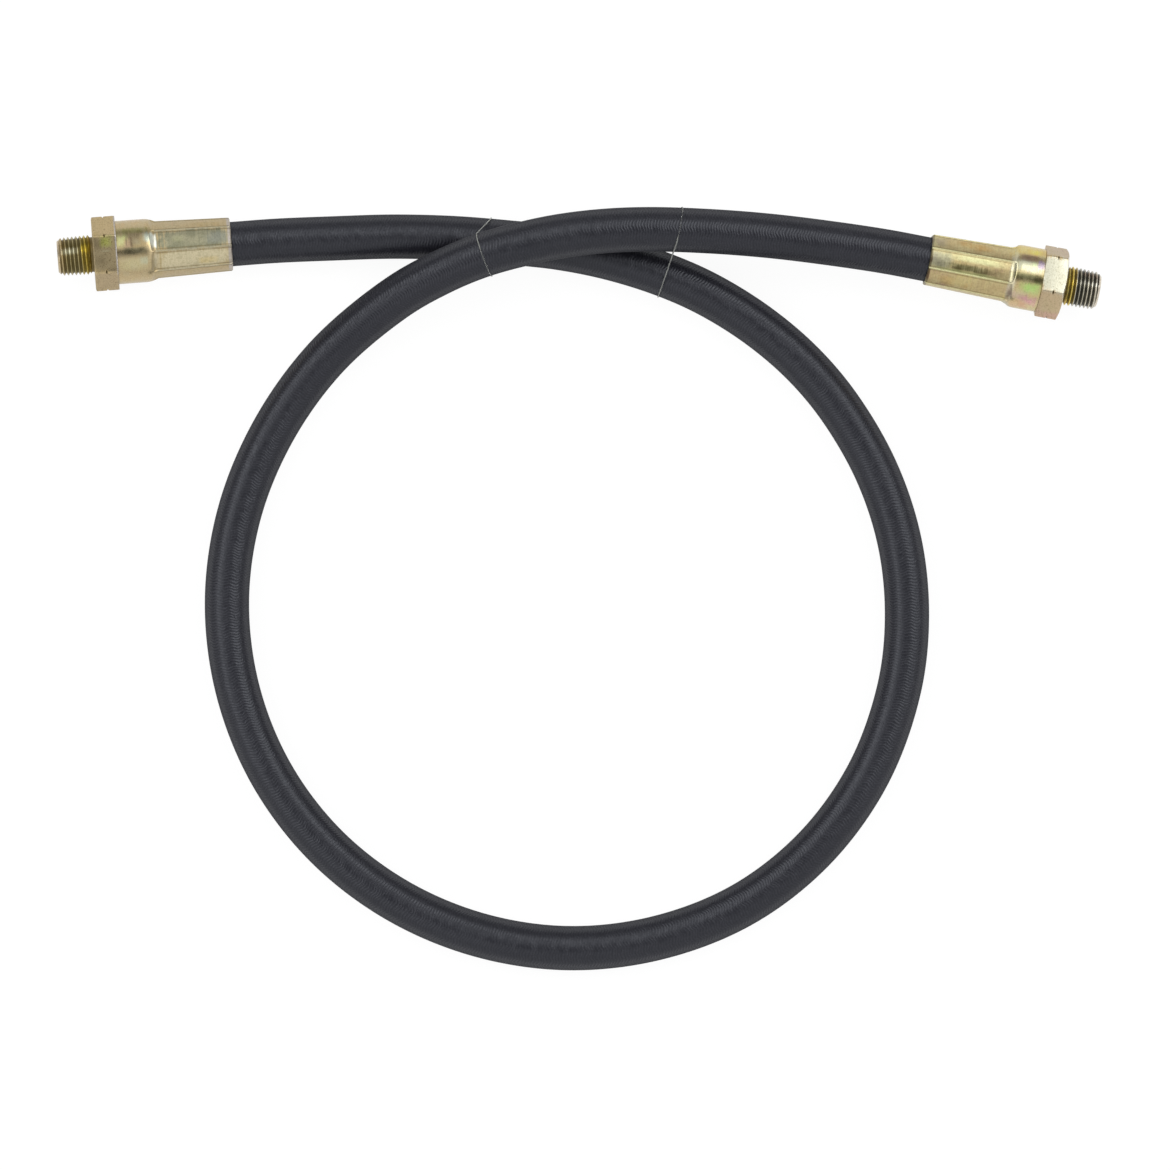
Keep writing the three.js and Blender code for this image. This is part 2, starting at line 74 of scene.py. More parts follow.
class Signal:
    """The output of a node, on which Python's operators add Math nodes."""

    def __init__(self, bench: NodeBench, socket: NodeSocket) -> None:
        """Wraps an output socket of a node that stands on the bench."""
        self.bench, self.socket = bench, socket

    def math(self, operation: str, *values: Value) -> Signal:
        """Adds a Math node, with its inputs in order."""
        return self.bench.node("ShaderNodeMath", {"operation": operation}, dict(enumerate(values)))

    def __add__(self, other: Value) -> Signal:
        """Adds a value."""
        return self.math("ADD", self, other)

    def __radd__(self, other: float) -> Signal:
        """Is added to a number."""
        return self.math("ADD", other, self)

    def __sub__(self, other: Value) -> Signal:
        """Takes a value away."""
        return self.math("SUBTRACT", self, other)

    def __rsub__(self, other: float) -> Signal:
        """Is taken away from a number."""
        return self.math("SUBTRACT", other, self)

    def __mul__(self, other: Value) -> Signal:
        """Multiplies by a value."""
        return self.math("MULTIPLY", self, other)

    def __rmul__(self, other: float) -> Signal:
        """Multiplies a number."""
        return self.math("MULTIPLY", other, self)

    def __pow__(self, other: float) -> Signal:
        """Raises to a power."""
        return self.math("POWER", self, other)

    def sine(self) -> Signal:
        """Takes the sine."""
        return self.math("SINE", self)

    def size(self) -> Signal:
        """Takes the size without the sign."""
        return self.math("ABSOLUTE", self)

    def at_least(self, other: Value) -> Signal:
        """Takes the larger of two values."""
        return self.math("MAXIMUM", self, other)

    def spread(self, low: float, high: float, to_low: float = 0.0, to_high: float = 1.0) -> Signal:
        """Carries the range from low to high smoothly to another one, and holds it there."""
        ends = {"Value": self, "From Min": low, "From Max": high, "To Min": to_low, "To Max": to_high}
        return self.bench.node("ShaderNodeMapRange", {"interpolation_type": "SMOOTHSTEP"}, ends)

    def ramp(self, stops: Sequence[tuple[float, Colour]]) -> Signal:
        """Turns a value between 0 and 1 into a colour, by stops of position and colour."""
        return self.bench.node("ShaderNodeValToRGB", {"stops": stops}, {"Fac": self})


Value = Signal | float | Sequence[float]
Inputs = Mapping[str | int, Value]


class NodeBench:
    """The nodes of one material or world."""

    def __init__(self, tree: NodeTree) -> None:
        """Clears a node tree to build on."""
        tree.nodes.clear()
        self.tree = tree

    def node(
        self,
        kind: str,
        settings: Mapping[str, object] | None = None,
        inputs: Inputs | None = None,
        output: str | int = 0,
    ) -> Signal:
        """Adds any node.

        Args:
            kind: The node's type.
            settings: Its properties, set first. A ramp takes "stops", a list of position and colour.
            inputs: Values or other nodes' outputs, by socket.
            output: The output to return.

        Returns:
            The chosen output.
        """
        made = self.tree.nodes.new(kind)
        for name, value in (settings or {}).items():
            if name != "stops":
                setattr(made, name, value)
                continue
            stops = made.color_ramp.elements
            while len(stops) < len(value):
                stops.new(0.5)
            for stop, (position, colour) in zip(stops, value):
                stop.position, stop.color = position, (*colour, 1.0)
        for key, value in (inputs or {}).items():
            socket = made.inputs[key]
            if isinstance(value, Signal):
                self.tree.links.new(value.socket, socket)
            else:
                socket.default_value = (*value, 1.0) if socket.type == "RGBA" else value
        return Signal(self, made.outputs[output] if len(made.outputs) else None)

    def outputs(self, kind: str, names: Sequence[str], inputs: Inputs | None = None) -> list[Signal]:
        """Adds a node of which several outputs are used, by their names."""
        made = self.node(kind, {}, inputs).socket.node
        return [Signal(self, made.outputs[name]) for name in names]

    def mix(self, factor: Value, first: Value, second: Value, blend: str = "MIX") -> Signal:
        """Lays the second colour on the first, as far as the factor says."""
        settings, inputs = {"data_type": "RGBA", "blend_type": blend}, {0: factor, 6: first, 7: second}
        return self.node("ShaderNodeMix", settings, inputs, output=2)

    def noise(self, where: Signal, scale: float, detail: float = 2.0, seed: float = 0.0) -> Signal:
        """Adds a noise about 0.5. Another seed gives another pattern."""
        inputs = {"Vector": where, "W": seed, "Scale": scale, "Detail": detail}
        return self.node("ShaderNodeTexNoise", {"noise_dimensions": "4D"}, inputs)

    def stretched(self, where: Signal, scale: Point) -> Signal:
        """Stretches coordinates by a factor on each axis."""
        return self.node("ShaderNodeVectorMath", {"operation": "MULTIPLY"}, {0: where, 1: scale})

    def place(self) -> Signal:
        """Reads the object's own coordinates."""
        return self.node("ShaderNodeTexCoord", output="Object")

    def wrap(self) -> tuple[Signal, Signal, Signal]:
        """Reads a skin's coordinates: together, the metres along it, and the turns round it."""
        where = self.node("ShaderNodeUVMap", {"uv_map": Skin.MAP})
        return (where, *self.outputs("ShaderNodeSeparateXYZ", "XY", {"Vector": where}))

    def mark(self, name: str) -> Signal:
        """Reads a number that a skin keeps at each point."""
        return self.node("ShaderNodeAttribute", {"attribute_name": name}, output="Fac")

    def bump(self, height: Signal, depth: float) -> Signal:
        """Adds a bump from a height between 0 and 1, where 1 stands for the depth."""
        return self.node("ShaderNodeBump", {}, {"Height": height, "Distance": depth})

    def surface(self, inputs: Inputs) -> None:
        """Ends a material in a Principled shader with these sockets."""
        shader = self.node("ShaderNodeBsdfPrincipled", {}, inputs)
        self.node("ShaderNodeOutputMaterial", {}, {"Surface": shader})


def bench_for(name: str) -> tuple[Material, NodeBench]:
    """Makes an empty node material.

    Args:
        name: The material's name.

    Returns:
        The material and the bench to build it on.
    """
    material = bpy.data.materials.new(name)
    material.use_nodes = True
    return material, NodeBench(material.node_tree)


# Finishes


class Slot(Enum):
    """The record's material slots."""

    COVER = "cover_rubber"
    INNER = "inner_rubber"
    WIRE = "braid_wire"
    ZINC = "yellow_zinc_steel"
    FILAMENT = "clear_filament"


@dataclass(frozen=True)
class CoverRubber:
    """The hose's cover: black rubber with the imprint of the cloth that it was cured in."""

    colour: Colour = (0.0056, 0.0056, 0.0088)
    dusty: Colour = (0.024, 0.0236, 0.0298)
    shine: Colour = (0.88, 0.92, 1.0)
    round_cover: float = 0.0474
    rib_pitch: float = 0.00098
    waves_round: int = 11
    wave_height: float = 1.7
    bends: Pair = (14.0, 9.0)
    scales: Three = (1300.0, 60.0, 330.0)
    imprint_depth: float = 0.000105
    roughness: float = 0.28
    grazing_roughness: float = 0.45

    def build(self) -> Material:
        """Builds the material.

        Returns:
            The material.
        """
        material, bench = bench_for("cover_rubber_cloth_imprint")
        where, along, turn = bench.wrap()
        true_scale = bench.stretched(where, (1.0, self.round_cover, 1.0))
        grain_scale, patch_scale, knot_scale = self.scales
        grain = bench.noise(true_scale, grain_scale, 3.0)
        patches = bench.noise(true_scale, patch_scale, 4.0, 3.0)
        knots = bench.noise(true_scale, knot_scale, 2.0, 7.0)
        # The cloth's threads lie across the hose in waves. The patches bend them, the knots break them up.
        across = (turn * (FULL * self.waves_round)).sine() * self.wave_height
        by_patches, by_knots = self.bends
        bent = along * (FULL / self.rib_pitch) + across + patches * by_patches + knots * by_knots
        ribs = (bent.sine() * 0.5 + 0.5) * knots.spread(0.25, 0.6, 0.55, 1.0)
        dust = patches.spread(0.3, 0.75) * 0.1 + ribs * 0.42 + grain.spread(0.45, 0.75) * 0.4
        facing = bench.node("ShaderNodeLayerWeight", {}, {"Blend": 0.5}, output="Facing")
        grazed = facing.spread(0.25, 0.8) * self.grazing_roughness
        bench.surface({
            "Base Color": bench.mix(dust, self.colour, self.dusty),
            "Roughness": self.roughness + patches.spread(0.3, 0.8) * 0.04 + grain * 0.08 + grazed,
            "Normal": bench.bump(ribs * 0.75 + grain * 0.5, self.imprint_depth),
            "Specular IOR Level": 0.4,
            "Specular Tint": self.shine,
        })
        return material


@dataclass(frozen=True)
class InnerRubber:
    """The plain rubber inside the hose."""

    colour: Colour = (0.01, 0.01, 0.011)
    worn: Colour = (0.02, 0.02, 0.022)
    roughness: float = 0.6

    def build(self) -> Material:
        """Builds the material.

        Returns:
            The material.
        """
        material, bench = bench_for("inner_rubber_plain")
        grain = bench.noise(bench.stretched(bench.wrap()[0], (1.0, 0.03, 1.0)), 900.0, 3.0)
        colour = bench.mix(grain, self.colour, self.worn)
        normal = bench.bump(grain, 0.00004)
        bench.surface({"Base Color": colour, "Roughness": self.roughness + grain * 0.25, "Normal": normal})
        return material


@dataclass(frozen=True)
class BraidWire:
    """Brass-coated steel wire, braided in bands that pass over and under each other."""

    colour: Colour = (0.62, 0.47, 0.22)
    gaps: Colour = (0.06, 0.05, 0.04)
    bands: int = 12
    lay: float = 0.033
    wires_in_band: int = 6
    wire_depth: float = 0.0002
    roughness: float = 0.55

    def build(self) -> Material:
        """Builds the material.

        Returns:
            The material.
        """
        material, bench = bench_for("braid_wire_brassed")
        _, along, turn = bench.wrap()
        lengthwise, crosswise = along * (FULL * self.bands / self.lay), turn * (FULL * self.bands)
        rising, falling = lengthwise + crosswise, lengthwise - crosswise
        top = ((rising * 0.5).sine() * (falling * 0.5).sine()).spread(-0.08, 0.08)
        up, down = ((way * self.wires_in_band).sine().spread(-1.0, 0.6) for way in (rising, falling))
        height = up * top + down * (1.0 - top)
        bench.surface({
            "Base Color": bench.mix(height, self.gaps, self.colour),
            "Metallic": 1.0,
            "Roughness": self.roughness - height * 0.25,
            "Normal": bench.bump(height, self.wire_depth),
        })
        return material


@dataclass(frozen=True)
class StainAndPaintedLight:
    """A patch of another colour, a stain in the film or, in some rows, painted highlights, reflections, shade
    and shadow: its middle and its reaches, in degrees round and millimetres along.

    The degrees count from straight up, as the fitting lies. The fade is a share of the reach.
    """

    turn: float
    along: float
    turn_reach: float
    along_reach: float
    colour: Colour
    strength: float = 0.8
    fade: float = 0.7

    def share(self, along: Signal, turn: Signal, ragged: Signal) -> Signal:
        """Says how much of the patch shows.

        Args:
            along: Metres along the piece.
            turn: Turns round it.
            ragged: A noise about 0 for its edge.

        Returns:
            The share.
        """
        round_it = turn - (self.turn / 360 - 0.5)
        out_round = (round_it.math("FRACT", round_it) - 0.5) * (360 / self.turn_reach)
        out_along = (along - self.along / 1000) * (1000 / self.along_reach)
        out_round, out_along = out_round * out_round, out_along * out_along
        out = (out_round * out_round + out_along * out_along) ** 0.25 + ragged
        return (1.0 - out.spread(1.0 - self.fade, 1.05)) * self.strength


@dataclass(frozen=True)
class YellowZinc:
    """Steel with yellow chromate over zinc: straw gold with patches of olive, rose and violet.

    One ramp holds the film's colours by thickness, and a piece's own film says where on it the piece lies.
    Its patches are stains in the film, and some paint highlights, reflections, shade and shadow.
    """

    name: str
    seed: float
    turned: float
    film: float = 0.42
    film_spread: float = 1.5
    paleness: float = 0.3
    roughness: float = 0.28
    crimp_roughness: float = 0.36
    crimp_until: float = 0.0
    bare_from: float = 1.0
    speckle: float = 0.45
    dents: float = 0.45
    scales: tuple[float, ...] = (75.0, 260.0, 2400.0, 1000.0, 1700.0)
    streak_reach: float = 0.0012
    texture_depth: float = 0.00004
    stains_and_light: tuple[StainAndLightRow, ...] = ()
    olive: Colour = (0.29, 0.27, 0.115)
    straw: Colour = (0.445, 0.355, 0.2)
    gold: Colour = (0.47, 0.345, 0.15)
    rose: Colour = (0.45, 0.31, 0.235)
    violet: Colour = (0.4, 0.32, 0.36)
    green: Colour = (0.37, 0.4, 0.19)
    pale: Colour = (0.57, 0.53, 0.37)
    speck: Colour = (0.56, 0.54, 0.47)
    steel: Colour = (0.56, 0.53, 0.45)
    # Painted shade for the recesses: brown on the film, nearly black on bare steel.
    painted_shade: Colour = (0.11, 0.084, 0.032)
    bare_painted_shade: Colour = (0.026, 0.026, 0.023)

    def build(self) -> Material:
        """Builds the material.

        Returns:
            The material.
        """
        material, bench = bench_for(self.name)
        where, along, turn = bench.wrap()
        place = bench.place()
        broad_scale, patch_scale, grain_scale, dent_scale, streak_scale = self.scales
        broad = bench.noise(place, broad_scale, 2.0, self.seed)
        patches = bench.noise(place, patch_scale, 4.0, self.seed + 5.0)
        grain = bench.noise(place, grain_scale, 2.0, self.seed + 9.0)
        dents = bench.noise(place, dent_scale, 2.0, self.seed + 3.0)
        streaked = bench.stretched(where, (1.0, self.streak_reach, 1.0))
        streaks = bench.noise(streaked, streak_scale, 3.0, self.seed + 2.0)
        recess, wear = bench.mark(Skin.RECESS), bench.mark(Skin.WEAR)

        layers = broad * 0.4 + patches * 0.3 + streaks * 0.3
        thickness = self.film + (layers - 0.5) * self.film_spread
        films = (self.violet, self.rose, self.straw, self.straw, self.gold, self.olive, self.green, self.rose)
        chromate = thickness.ramp(list(zip((0.08, 0.2, 0.34, 0.46, 0.56, 0.66, 0.76, 0.88), films)))
        rubbed = (patches * 0.6 + streaks * 0.4).spread(0.42, 0.62) * self.paleness
        ragged = (patches - 0.5) * 0.85 + (streaks - 0.5) * 0.85
        cut_away = along.spread(self.bare_from, self.bare_from + 0.0004)
        coated = bench.mix(cut_away, chromate, self.steel)
        # Stains in the film, and painted highlights, reflections, shade and shadow, laid on in turn.
        for stain_and_light in (StainAndPaintedLight(*row) for row in self.stains_and_light):
            coated = bench.mix(stain_and_light.share(along, turn + self.turned / 360, ragged), coated, stain_and_light.colour)
        plated = bench.mix(rubbed.at_least(wear * 0.85), coated, self.pale)
        crimped = 1.0 - along.spread(self.crimp_until - 0.001, self.crimp_until + 0.001)
        pitted = dents.spread(0.46, 0.66) * (crimped * self.dents)
        pitted = pitted.at_least(streaks.spread(0.5, 0.68) * (self.dents * 0.6))
        pitted = pitted.at_least(grain.spread(0.5, 0.68) * self.speckle)
        metal = bench.mix(pitted, plated, self.speck, "MULTIPLY")
        dull = patches.spread(0.3, 0.7) * 0.1 + grain * 0.08 + recess * 0.2 - wear * 0.08
        pressed = crimped * (self.crimp_roughness - self.roughness) - cut_away * 0.12
        hammered = dents * (crimped * 1.4 + 0.3)
        # The recess mark paints shade into the thread's roots, the groove's nicks and the creases beside the
        # fins.
        bench.surface({
            "Base Color": bench.mix(recess, metal, bench.mix(cut_away, self.painted_shade, self.bare_painted_shade)),
            "Metallic": 1.0,
            "Roughness": self.roughness + pressed + dull,
            "Normal": bench.bump(grain * 0.4 + streaks * 0.4 + hammered, self.texture_depth),
        })
        return material


@dataclass(frozen=True)
class ClearFilament:
    """Clear nylon line, a little clouded. Between two y it is so clear that the least of it is seen."""

    name: str
    clearest: Pair
    least: float
    colour: Colour = (0.3, 0.31, 0.29)
    clouded: Colour = (0.42, 0.43, 0.4)
    roughness: float = 0.42
    transmission: float = 0.6
    refraction: float = 1.53

    def build(self) -> Material:
        """Builds the material.

        Returns:
            The material.
        """
        material, bench = bench_for(self.name)
        place = bench.place()
        (y,) = bench.outputs("ShaderNodeSeparateXYZ", "Y", {"Vector": place})
        cloud = bench.noise(place, 700.0, 2.0)
        start, end = self.clearest
        clear = y.spread(start - 0.001, start + 0.001) * y.spread(end - 0.001, end + 0.001, 1.0, 0.0)
        bench.surface({
            "Base Color": bench.mix(cloud, self.colour, self.clouded),
            "Roughness": self.roughness + cloud * 0.12,
            "Transmission Weight": self.transmission,
            "IOR": self.refraction,
            "Alpha": 1.0 - clear * (1.0 - self.least),
        })
        return material


# Meshes


class Skin:
    """A closed skin of rings, each joined to the next and the last to the first, with its faces outwards."""

    # The recess mark holds painted shade, and the wear mark holds rubbing.
    MAP, RECESS, WEAR = "piece_wrap", "recess", "wear"
    SHARP = math.radians(38)

    def __init__(self, rings: Array, along: Array, turns: Array) -> None:
        """Keeps the rings' points, each ring's metres along, and each column's turn from 0 up to 1."""
        self.rings, self.along, self.turns = rings, along, np.append(turns, 1.0)
        self.marks = {name: np.zeros(rings.shape[:2]) for name in (self.RECESS, self.WEAR)}

    def mesh(self, name: str) -> Mesh:
        """Builds the mesh with its coordinates and marks.

        Args:
            name: The piece's name.

        Returns:
            The mesh.
        """
        count, columns = self.rings.shape[:2]
        ring, column = np.meshgrid(np.arange(count), np.arange(columns), indexing="ij")
        corners = [((ring + i) % count, column + j) for i, j in ((0, 0), (1, 0), (1, 1), (0, 1))]
        faces = np.stack([i * columns + j % columns for i, j in corners], axis=-1).reshape(-1, 4)
        mesh = bpy.data.meshes.new(name)
        mesh.vertices.add(count * columns)
        mesh.vertices.foreach_set("co", self.rings.astype(np.float32).ravel())
        mesh.loops.add(faces.size)
        mesh.loops.foreach_set("vertex_index", faces.astype(np.int32).ravel())
        mesh.polygons.add(len(faces))
        mesh.polygons.foreach_set("loop_start", np.arange(0, faces.size, 4, dtype=np.int32))
        mesh.update(calc_edges=True)
        mesh.validate()
        # The map holds metres along and turns round, and the turns go on to 1 at the seam.
        places = np.stack([np.stack([self.along[i], self.turns[j]], -1) for i, j in corners], axis=-2)
        mesh.uv_layers.new(name=self.MAP).uv.foreach_set("vector", places.astype(np.float32).ravel())
        for mark, values in self.marks.items():
            layer = mesh.attributes.new(mark, "FLOAT", "POINT")
            layer.data.foreach_set("value", values.astype(np.float32).ravel())
        mesh.shade_smooth()
        mesh.set_sharp_from_angle(angle=self.SHARP)
        return mesh


def linked(thing: Object) -> Object:
    """Puts an object in the scene and hands it on."""
    bpy.context.scene.collection.objects.link(thing)
    return thing


def in_place(shape: Mesh | Curve, material: Material, node: str) -> Object:
    """Puts a piece in the place of its node.

    Args:
        shape: The piece's mesh or curve, which gives it its name.
        material: Its finish.
        node: The node that it replaces.

    Returns:
        The piece.
    """
    shape.materials.append(material)
    piece = linked(bpy.data.objects.new(shape.name, shape))
    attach(piece, BODY)
    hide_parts(node)
    LOG.info("%s replaces %s", piece.name, node)
    return piece


def eased(rows: Sequence[Row], columns: int, steps: int = 3) -> tuple[Array, Array]:
    """Rounds the corners of a profile that may differ from column to column.

    Args:
        rows: Each corner's radius, its place along, and how far its rounding reaches, 0 for none.
        columns: How many columns there are.
        steps: How many pieces a rounding has.

    Returns:
        The radii and the places along, by ring and column.
    """
    corners = [np.stack([np.broadcast_to(part, columns) for part in row[:2]], axis=-1) for row in rows]
    made = []
    for i, (corner, (_, _, ease)) in enumerate(zip(corners, rows)):
        if not ease:
            made.append(corner)
            continue
        ends = []
        for other in (corners[i - 1], corners[(i + 1) % len(corners)]):
            side = other - corner
            length = np.linalg.norm(side, axis=-1, keepdims=True)
            ends.append(corner + side * np.minimum(ease / np.maximum(length, 1e-9), 0.45))
        for share in np.linspace(0.0, 1.0, steps + 1):
            made.append((1 - share) ** 2 * ends[0] + 2 * share * (1 - share) * corner + share**2 * ends[1])
    profile = np.stack(made)
    return profile[..., 0], profile[..., 1]


def lesser(first: Array, second: Array, blend: float) -> Array:
    """The lesser of two radii, with a fillet where they come as near to each other as the blend."""
    overlap = np.maximum(blend - np.abs(first - second), 0.0) / blend
    return np.minimum(first, second) - overlap**2 * blend / 4


# The assembly's sizes


@dataclass(frozen=True)
class HoseSizes:
    """The hose's layers, from the bore outwards."""

    bore_diameter: float = 0.0064
    tube_wall: float = 0.0013
    braid_wall: float = 0.0005
    middle_wall: float = 0.0003
    cover_wall: float = 0.00115
    layer_gap: float = 0.00015

    def layers(self) -> dict[str, tuple[Slot, float, float]]:
        """Stacks the layers.

        Returns:
            Each layer's slot, inner radius and outer radius, by its node.
        """
        stack, radius = {}, self.bore_diameter / 2
        for name, slot, wall in (
            ("hose_inner_tube", Slot.INNER, self.tube_wall),
            ("hose_inner_braid", Slot.WIRE, self.braid_wall),
            ("hose_middle_layer", Slot.INNER, self.middle_wall),
            ("hose_outer_braid", Slot.WIRE, self.braid_wall),
            ("hose_outer_cover", Slot.COVER, self.cover_wall),
        ):
            stack[name] = (slot, radius, radius + wall)
            radius += wall + self.layer_gap
        return stack

    @property
    def radius(self) -> float:
        """The radius over the cover."""
        return self.layers()["hose_outer_cover"][2]


@dataclass(frozen=True)
class FerruleSizes:
    """The crimped shell."""

    length: float = 0.0386
    mouth_wall: float = 0.0007
    crimp_rise: float = 0.00065
    collar_wall: float = 0.00255
    collar_room: float = 0.00065
    tail_growth: float = 0.000279
    lip_length: float = 0.004
    lip_radius: float = 0.0065
    shoulder_length: float = 0.004
    squeeze: float = 0.0005
    first_land: float = 0.002
    teeth: int = 4
    tooth_height: float = 0.00025
    tooth_width: float = 0.0012
    dies: int = 8
    die_flattening: float = 0.008
    die_lead: float = 0.003
    fin_width: float = 0.00055
    fin_height: float = 0.0005
    fin_slope: float = 2.2
    fin_blend: float = 0.00016
    edge: float = 0.0004

    @property
    def face_radius(self) -> float:
        """From the axis to a die's middle at the mouth."""
        return HOSE.radius + SEAT_GAP + self.mouth_wall

    @property
    def cavity_radius(self) -> float:
        """Inside the collar."""
        return HOSE.radius + self.collar_room

    @property
    def collar_radius(self) -> float:
        """Over the collar, where no die has pressed it."""
        return self.cavity_radius + self.collar_wall


@dataclass(frozen=True)
class NippleSizes:
    """The thread, hexagon and barbed stem."""

    flow_diameter: float = 0.0044
    flow_chamfer: float = 0.0005
    stem_diameter: float = 0.0062
    stem_nose: float = 0.001
    barb_height: float = 0.00035
    barbs: int = 6
    stem_setback: float = 0.0025
    neck_diameter: float = 0.0124
    flange_diameter: float = 0.0148
    flange_length: float = 0.004
    across_flats: float = 0.022
    hex_width: float = 0.008
    chamfer_angle: float = math.radians(20)
    groove_depth: float = 0.00055
    groove_half_width: float = 0.00046
    hex_edge: float = 0.00024
    corner_blend: float = 0.00035
    thread_diameter: float = 0.01316
    thread_length: float = 0.0122
    gauge_length: float = 0.006
    taper: float = 1 / 16
    pitch: float = 0.001337
    thread_depth: float = 0.00086
    undercut: float = 0.0015
    tip_chamfer: float = 0.0015

    @property
    def corner_radius(self) -> float:
        """From the axis to the hexagon's sharp corners."""
        return self.across_flats / 2 / math.cos(math.pi / 6)

    @property
    def flange_end(self) -> float:
        """Where the flange ends, at the ferrule's lip."""
        return FERRULE.length - FERRULE.lip_length - SEAT_GAP

    @property
    def flange_start(self) -> float:
        """Where the flange starts, past the hose's cut end."""
        return self.flange_end - self.flange_length


HOSE, FERRULE, NIPPLE = HoseSizes(), FerruleSizes(), NippleSizes()
SEAT_GAP = 0.0003


@dataclass(frozen=True)
class Placement:
    """Where a fitting lies, and how it is turned."""

    mouth: Pair
    heading: float
    tilt: float
    hex_turn: float
    crimp_turn: float
    collar_length: float
    hex_face_diameter: float
    # The painted shade in the thread's roots: how fast it grows with depth, and its strength.
    root_shade: Pair

    @property
    def mouth_height(self) -> float:
        """The axis over the surface at the mouth.

        Returns:
            The height at which whatever reaches lowest rests on the surface.
        """
        tilt = math.radians(self.tilt)
        corner = NIPPLE.corner_radius * math.cos(math.pi / 6 - abs(math.radians(self.hex_turn)))
        chamfer = (NIPPLE.corner_radius - self.hex_face_diameter / 2) * math.tan(NIPPLE.chamfer_angle)
        back = FERRULE.length + SEAT_GAP
        rests = (
            (FERRULE.face_radius + FERRULE.fin_height, FERRULE.edge),
            (FERRULE.collar_radius, self.crimp_length + FERRULE.shoulder_length),
            (FERRULE.collar_radius, FERRULE.length - FERRULE.edge),
            (corner, back),
            (corner, back + NIPPLE.hex_width - chamfer),
        )
        return max(radius * math.cos(tilt) - along * math.sin(tilt) for radius, along in rests)

    @property
    def crimp_length(self) -> float:
        """From the mouth to the inner ends of the dies."""
        return FERRULE.length - self.collar_length

    def on_axis(self, out: float) -> Point:
        """Finds a point on the axis.

        Args:
            out: How far out of the ferrule's mouth it is, negative inside.

        Returns:
            The point.
        """
        heading, tilt = math.radians(self.heading), math.radians(self.tilt)
        x, y, level = *self.mouth, out * math.cos(tilt)
        height = self.mouth_height - out * math.sin(tilt)
        return (x - level * math.cos(heading), y - level * math.sin(heading), height)

    def matrix(self, extra_turn: float = 0.0) -> Matrix:
        """Carries the fitting's own frame to the row frame.

        Args:
            extra_turn: Degrees that the piece is turned about the axis beside the hexagon's turn.

        Returns:
            The matrix.
        """
        heading = Matrix.Rotation(math.radians(self.heading) - math.pi / 2, 4, "Z")
        tilt = Matrix.Rotation(math.radians(self.tilt), 4, "X")
        turn = Matrix.Rotation(math.radians(self.hex_turn + extra_turn), 4, "Y")
        return Matrix.Translation(self.on_axis(0.0)) @ heading @ tilt @ turn

    def bore(self) -> list[Pair]:
        """Lists the ferrule's inside from its mouth to its cavity.

        Returns:
            Radii and places along.
        """
        mouth, first = HOSE.radius + SEAT_GAP, FERRULE.first_land
        land = mouth - FERRULE.squeeze
        pitch, half = (self.crimp_length - first) / FERRULE.teeth, FERRULE.tooth_width / 2
        profile = [(mouth, 0.0), (mouth, first / 2), (land, first)]
        for i in range(FERRULE.teeth):
            crest = first + (i + 0.5) * pitch
            profile += [(land, crest - half), (land - FERRULE.tooth_height, crest), (land, crest + half)]
        return [*profile, (land, self.crimp_length), (FERRULE.cavity_radius, self.crimp_length + 0.001)]

    def grip(self, inside: Array) -> Array:
        """Says how far out the cover may reach, at distances past the ferrule's mouth."""
        radii, along = zip(*self.bore())
        return np.where(inside > 0, np.interp(inside, along, np.array(radii) - SEAT_GAP), HOSE.radius)


class Side(Enum):
    """The assembly's two ends."""

    LEFT = Placement((-0.1182, 0.0085), 184.4, 3.4, -3.2, -5.0, 0.0132, 0.024, (2.4, 0.7))
    RIGHT = Placement((0.1183, 0.0031), -10.5, -3.0, -13.0, -26.0, 0.0113, 0.0214, (1.5, 0.92))


LEFT, RIGHT = Side.LEFT.value, Side.RIGHT.value


def stem_profile(gap: float = 0.0) -> list[Pair]:
    """Lists the barbed stem, from its nose towards the flange.

    Args:
        gap: How far the profile is grown.

    Returns:
        Radii and places along.
    """
    sizes, root, start = NIPPLE, NIPPLE.stem_diameter / 2 + gap, NIPPLE.stem_setback
    nose = sizes.stem_nose
    pitch = (sizes.flange_start - start - 2 * nose) / sizes.barbs
    profile = [(root - nose / 2, start - gap), (root, start + nose)]
    for i in range(1, sizes.barbs + 1):
        crest = start + nose + i * pitch
        profile += [(root + sizes.barb_height, crest - sizes.barb_height), (root, crest)]
    return profile


# The route


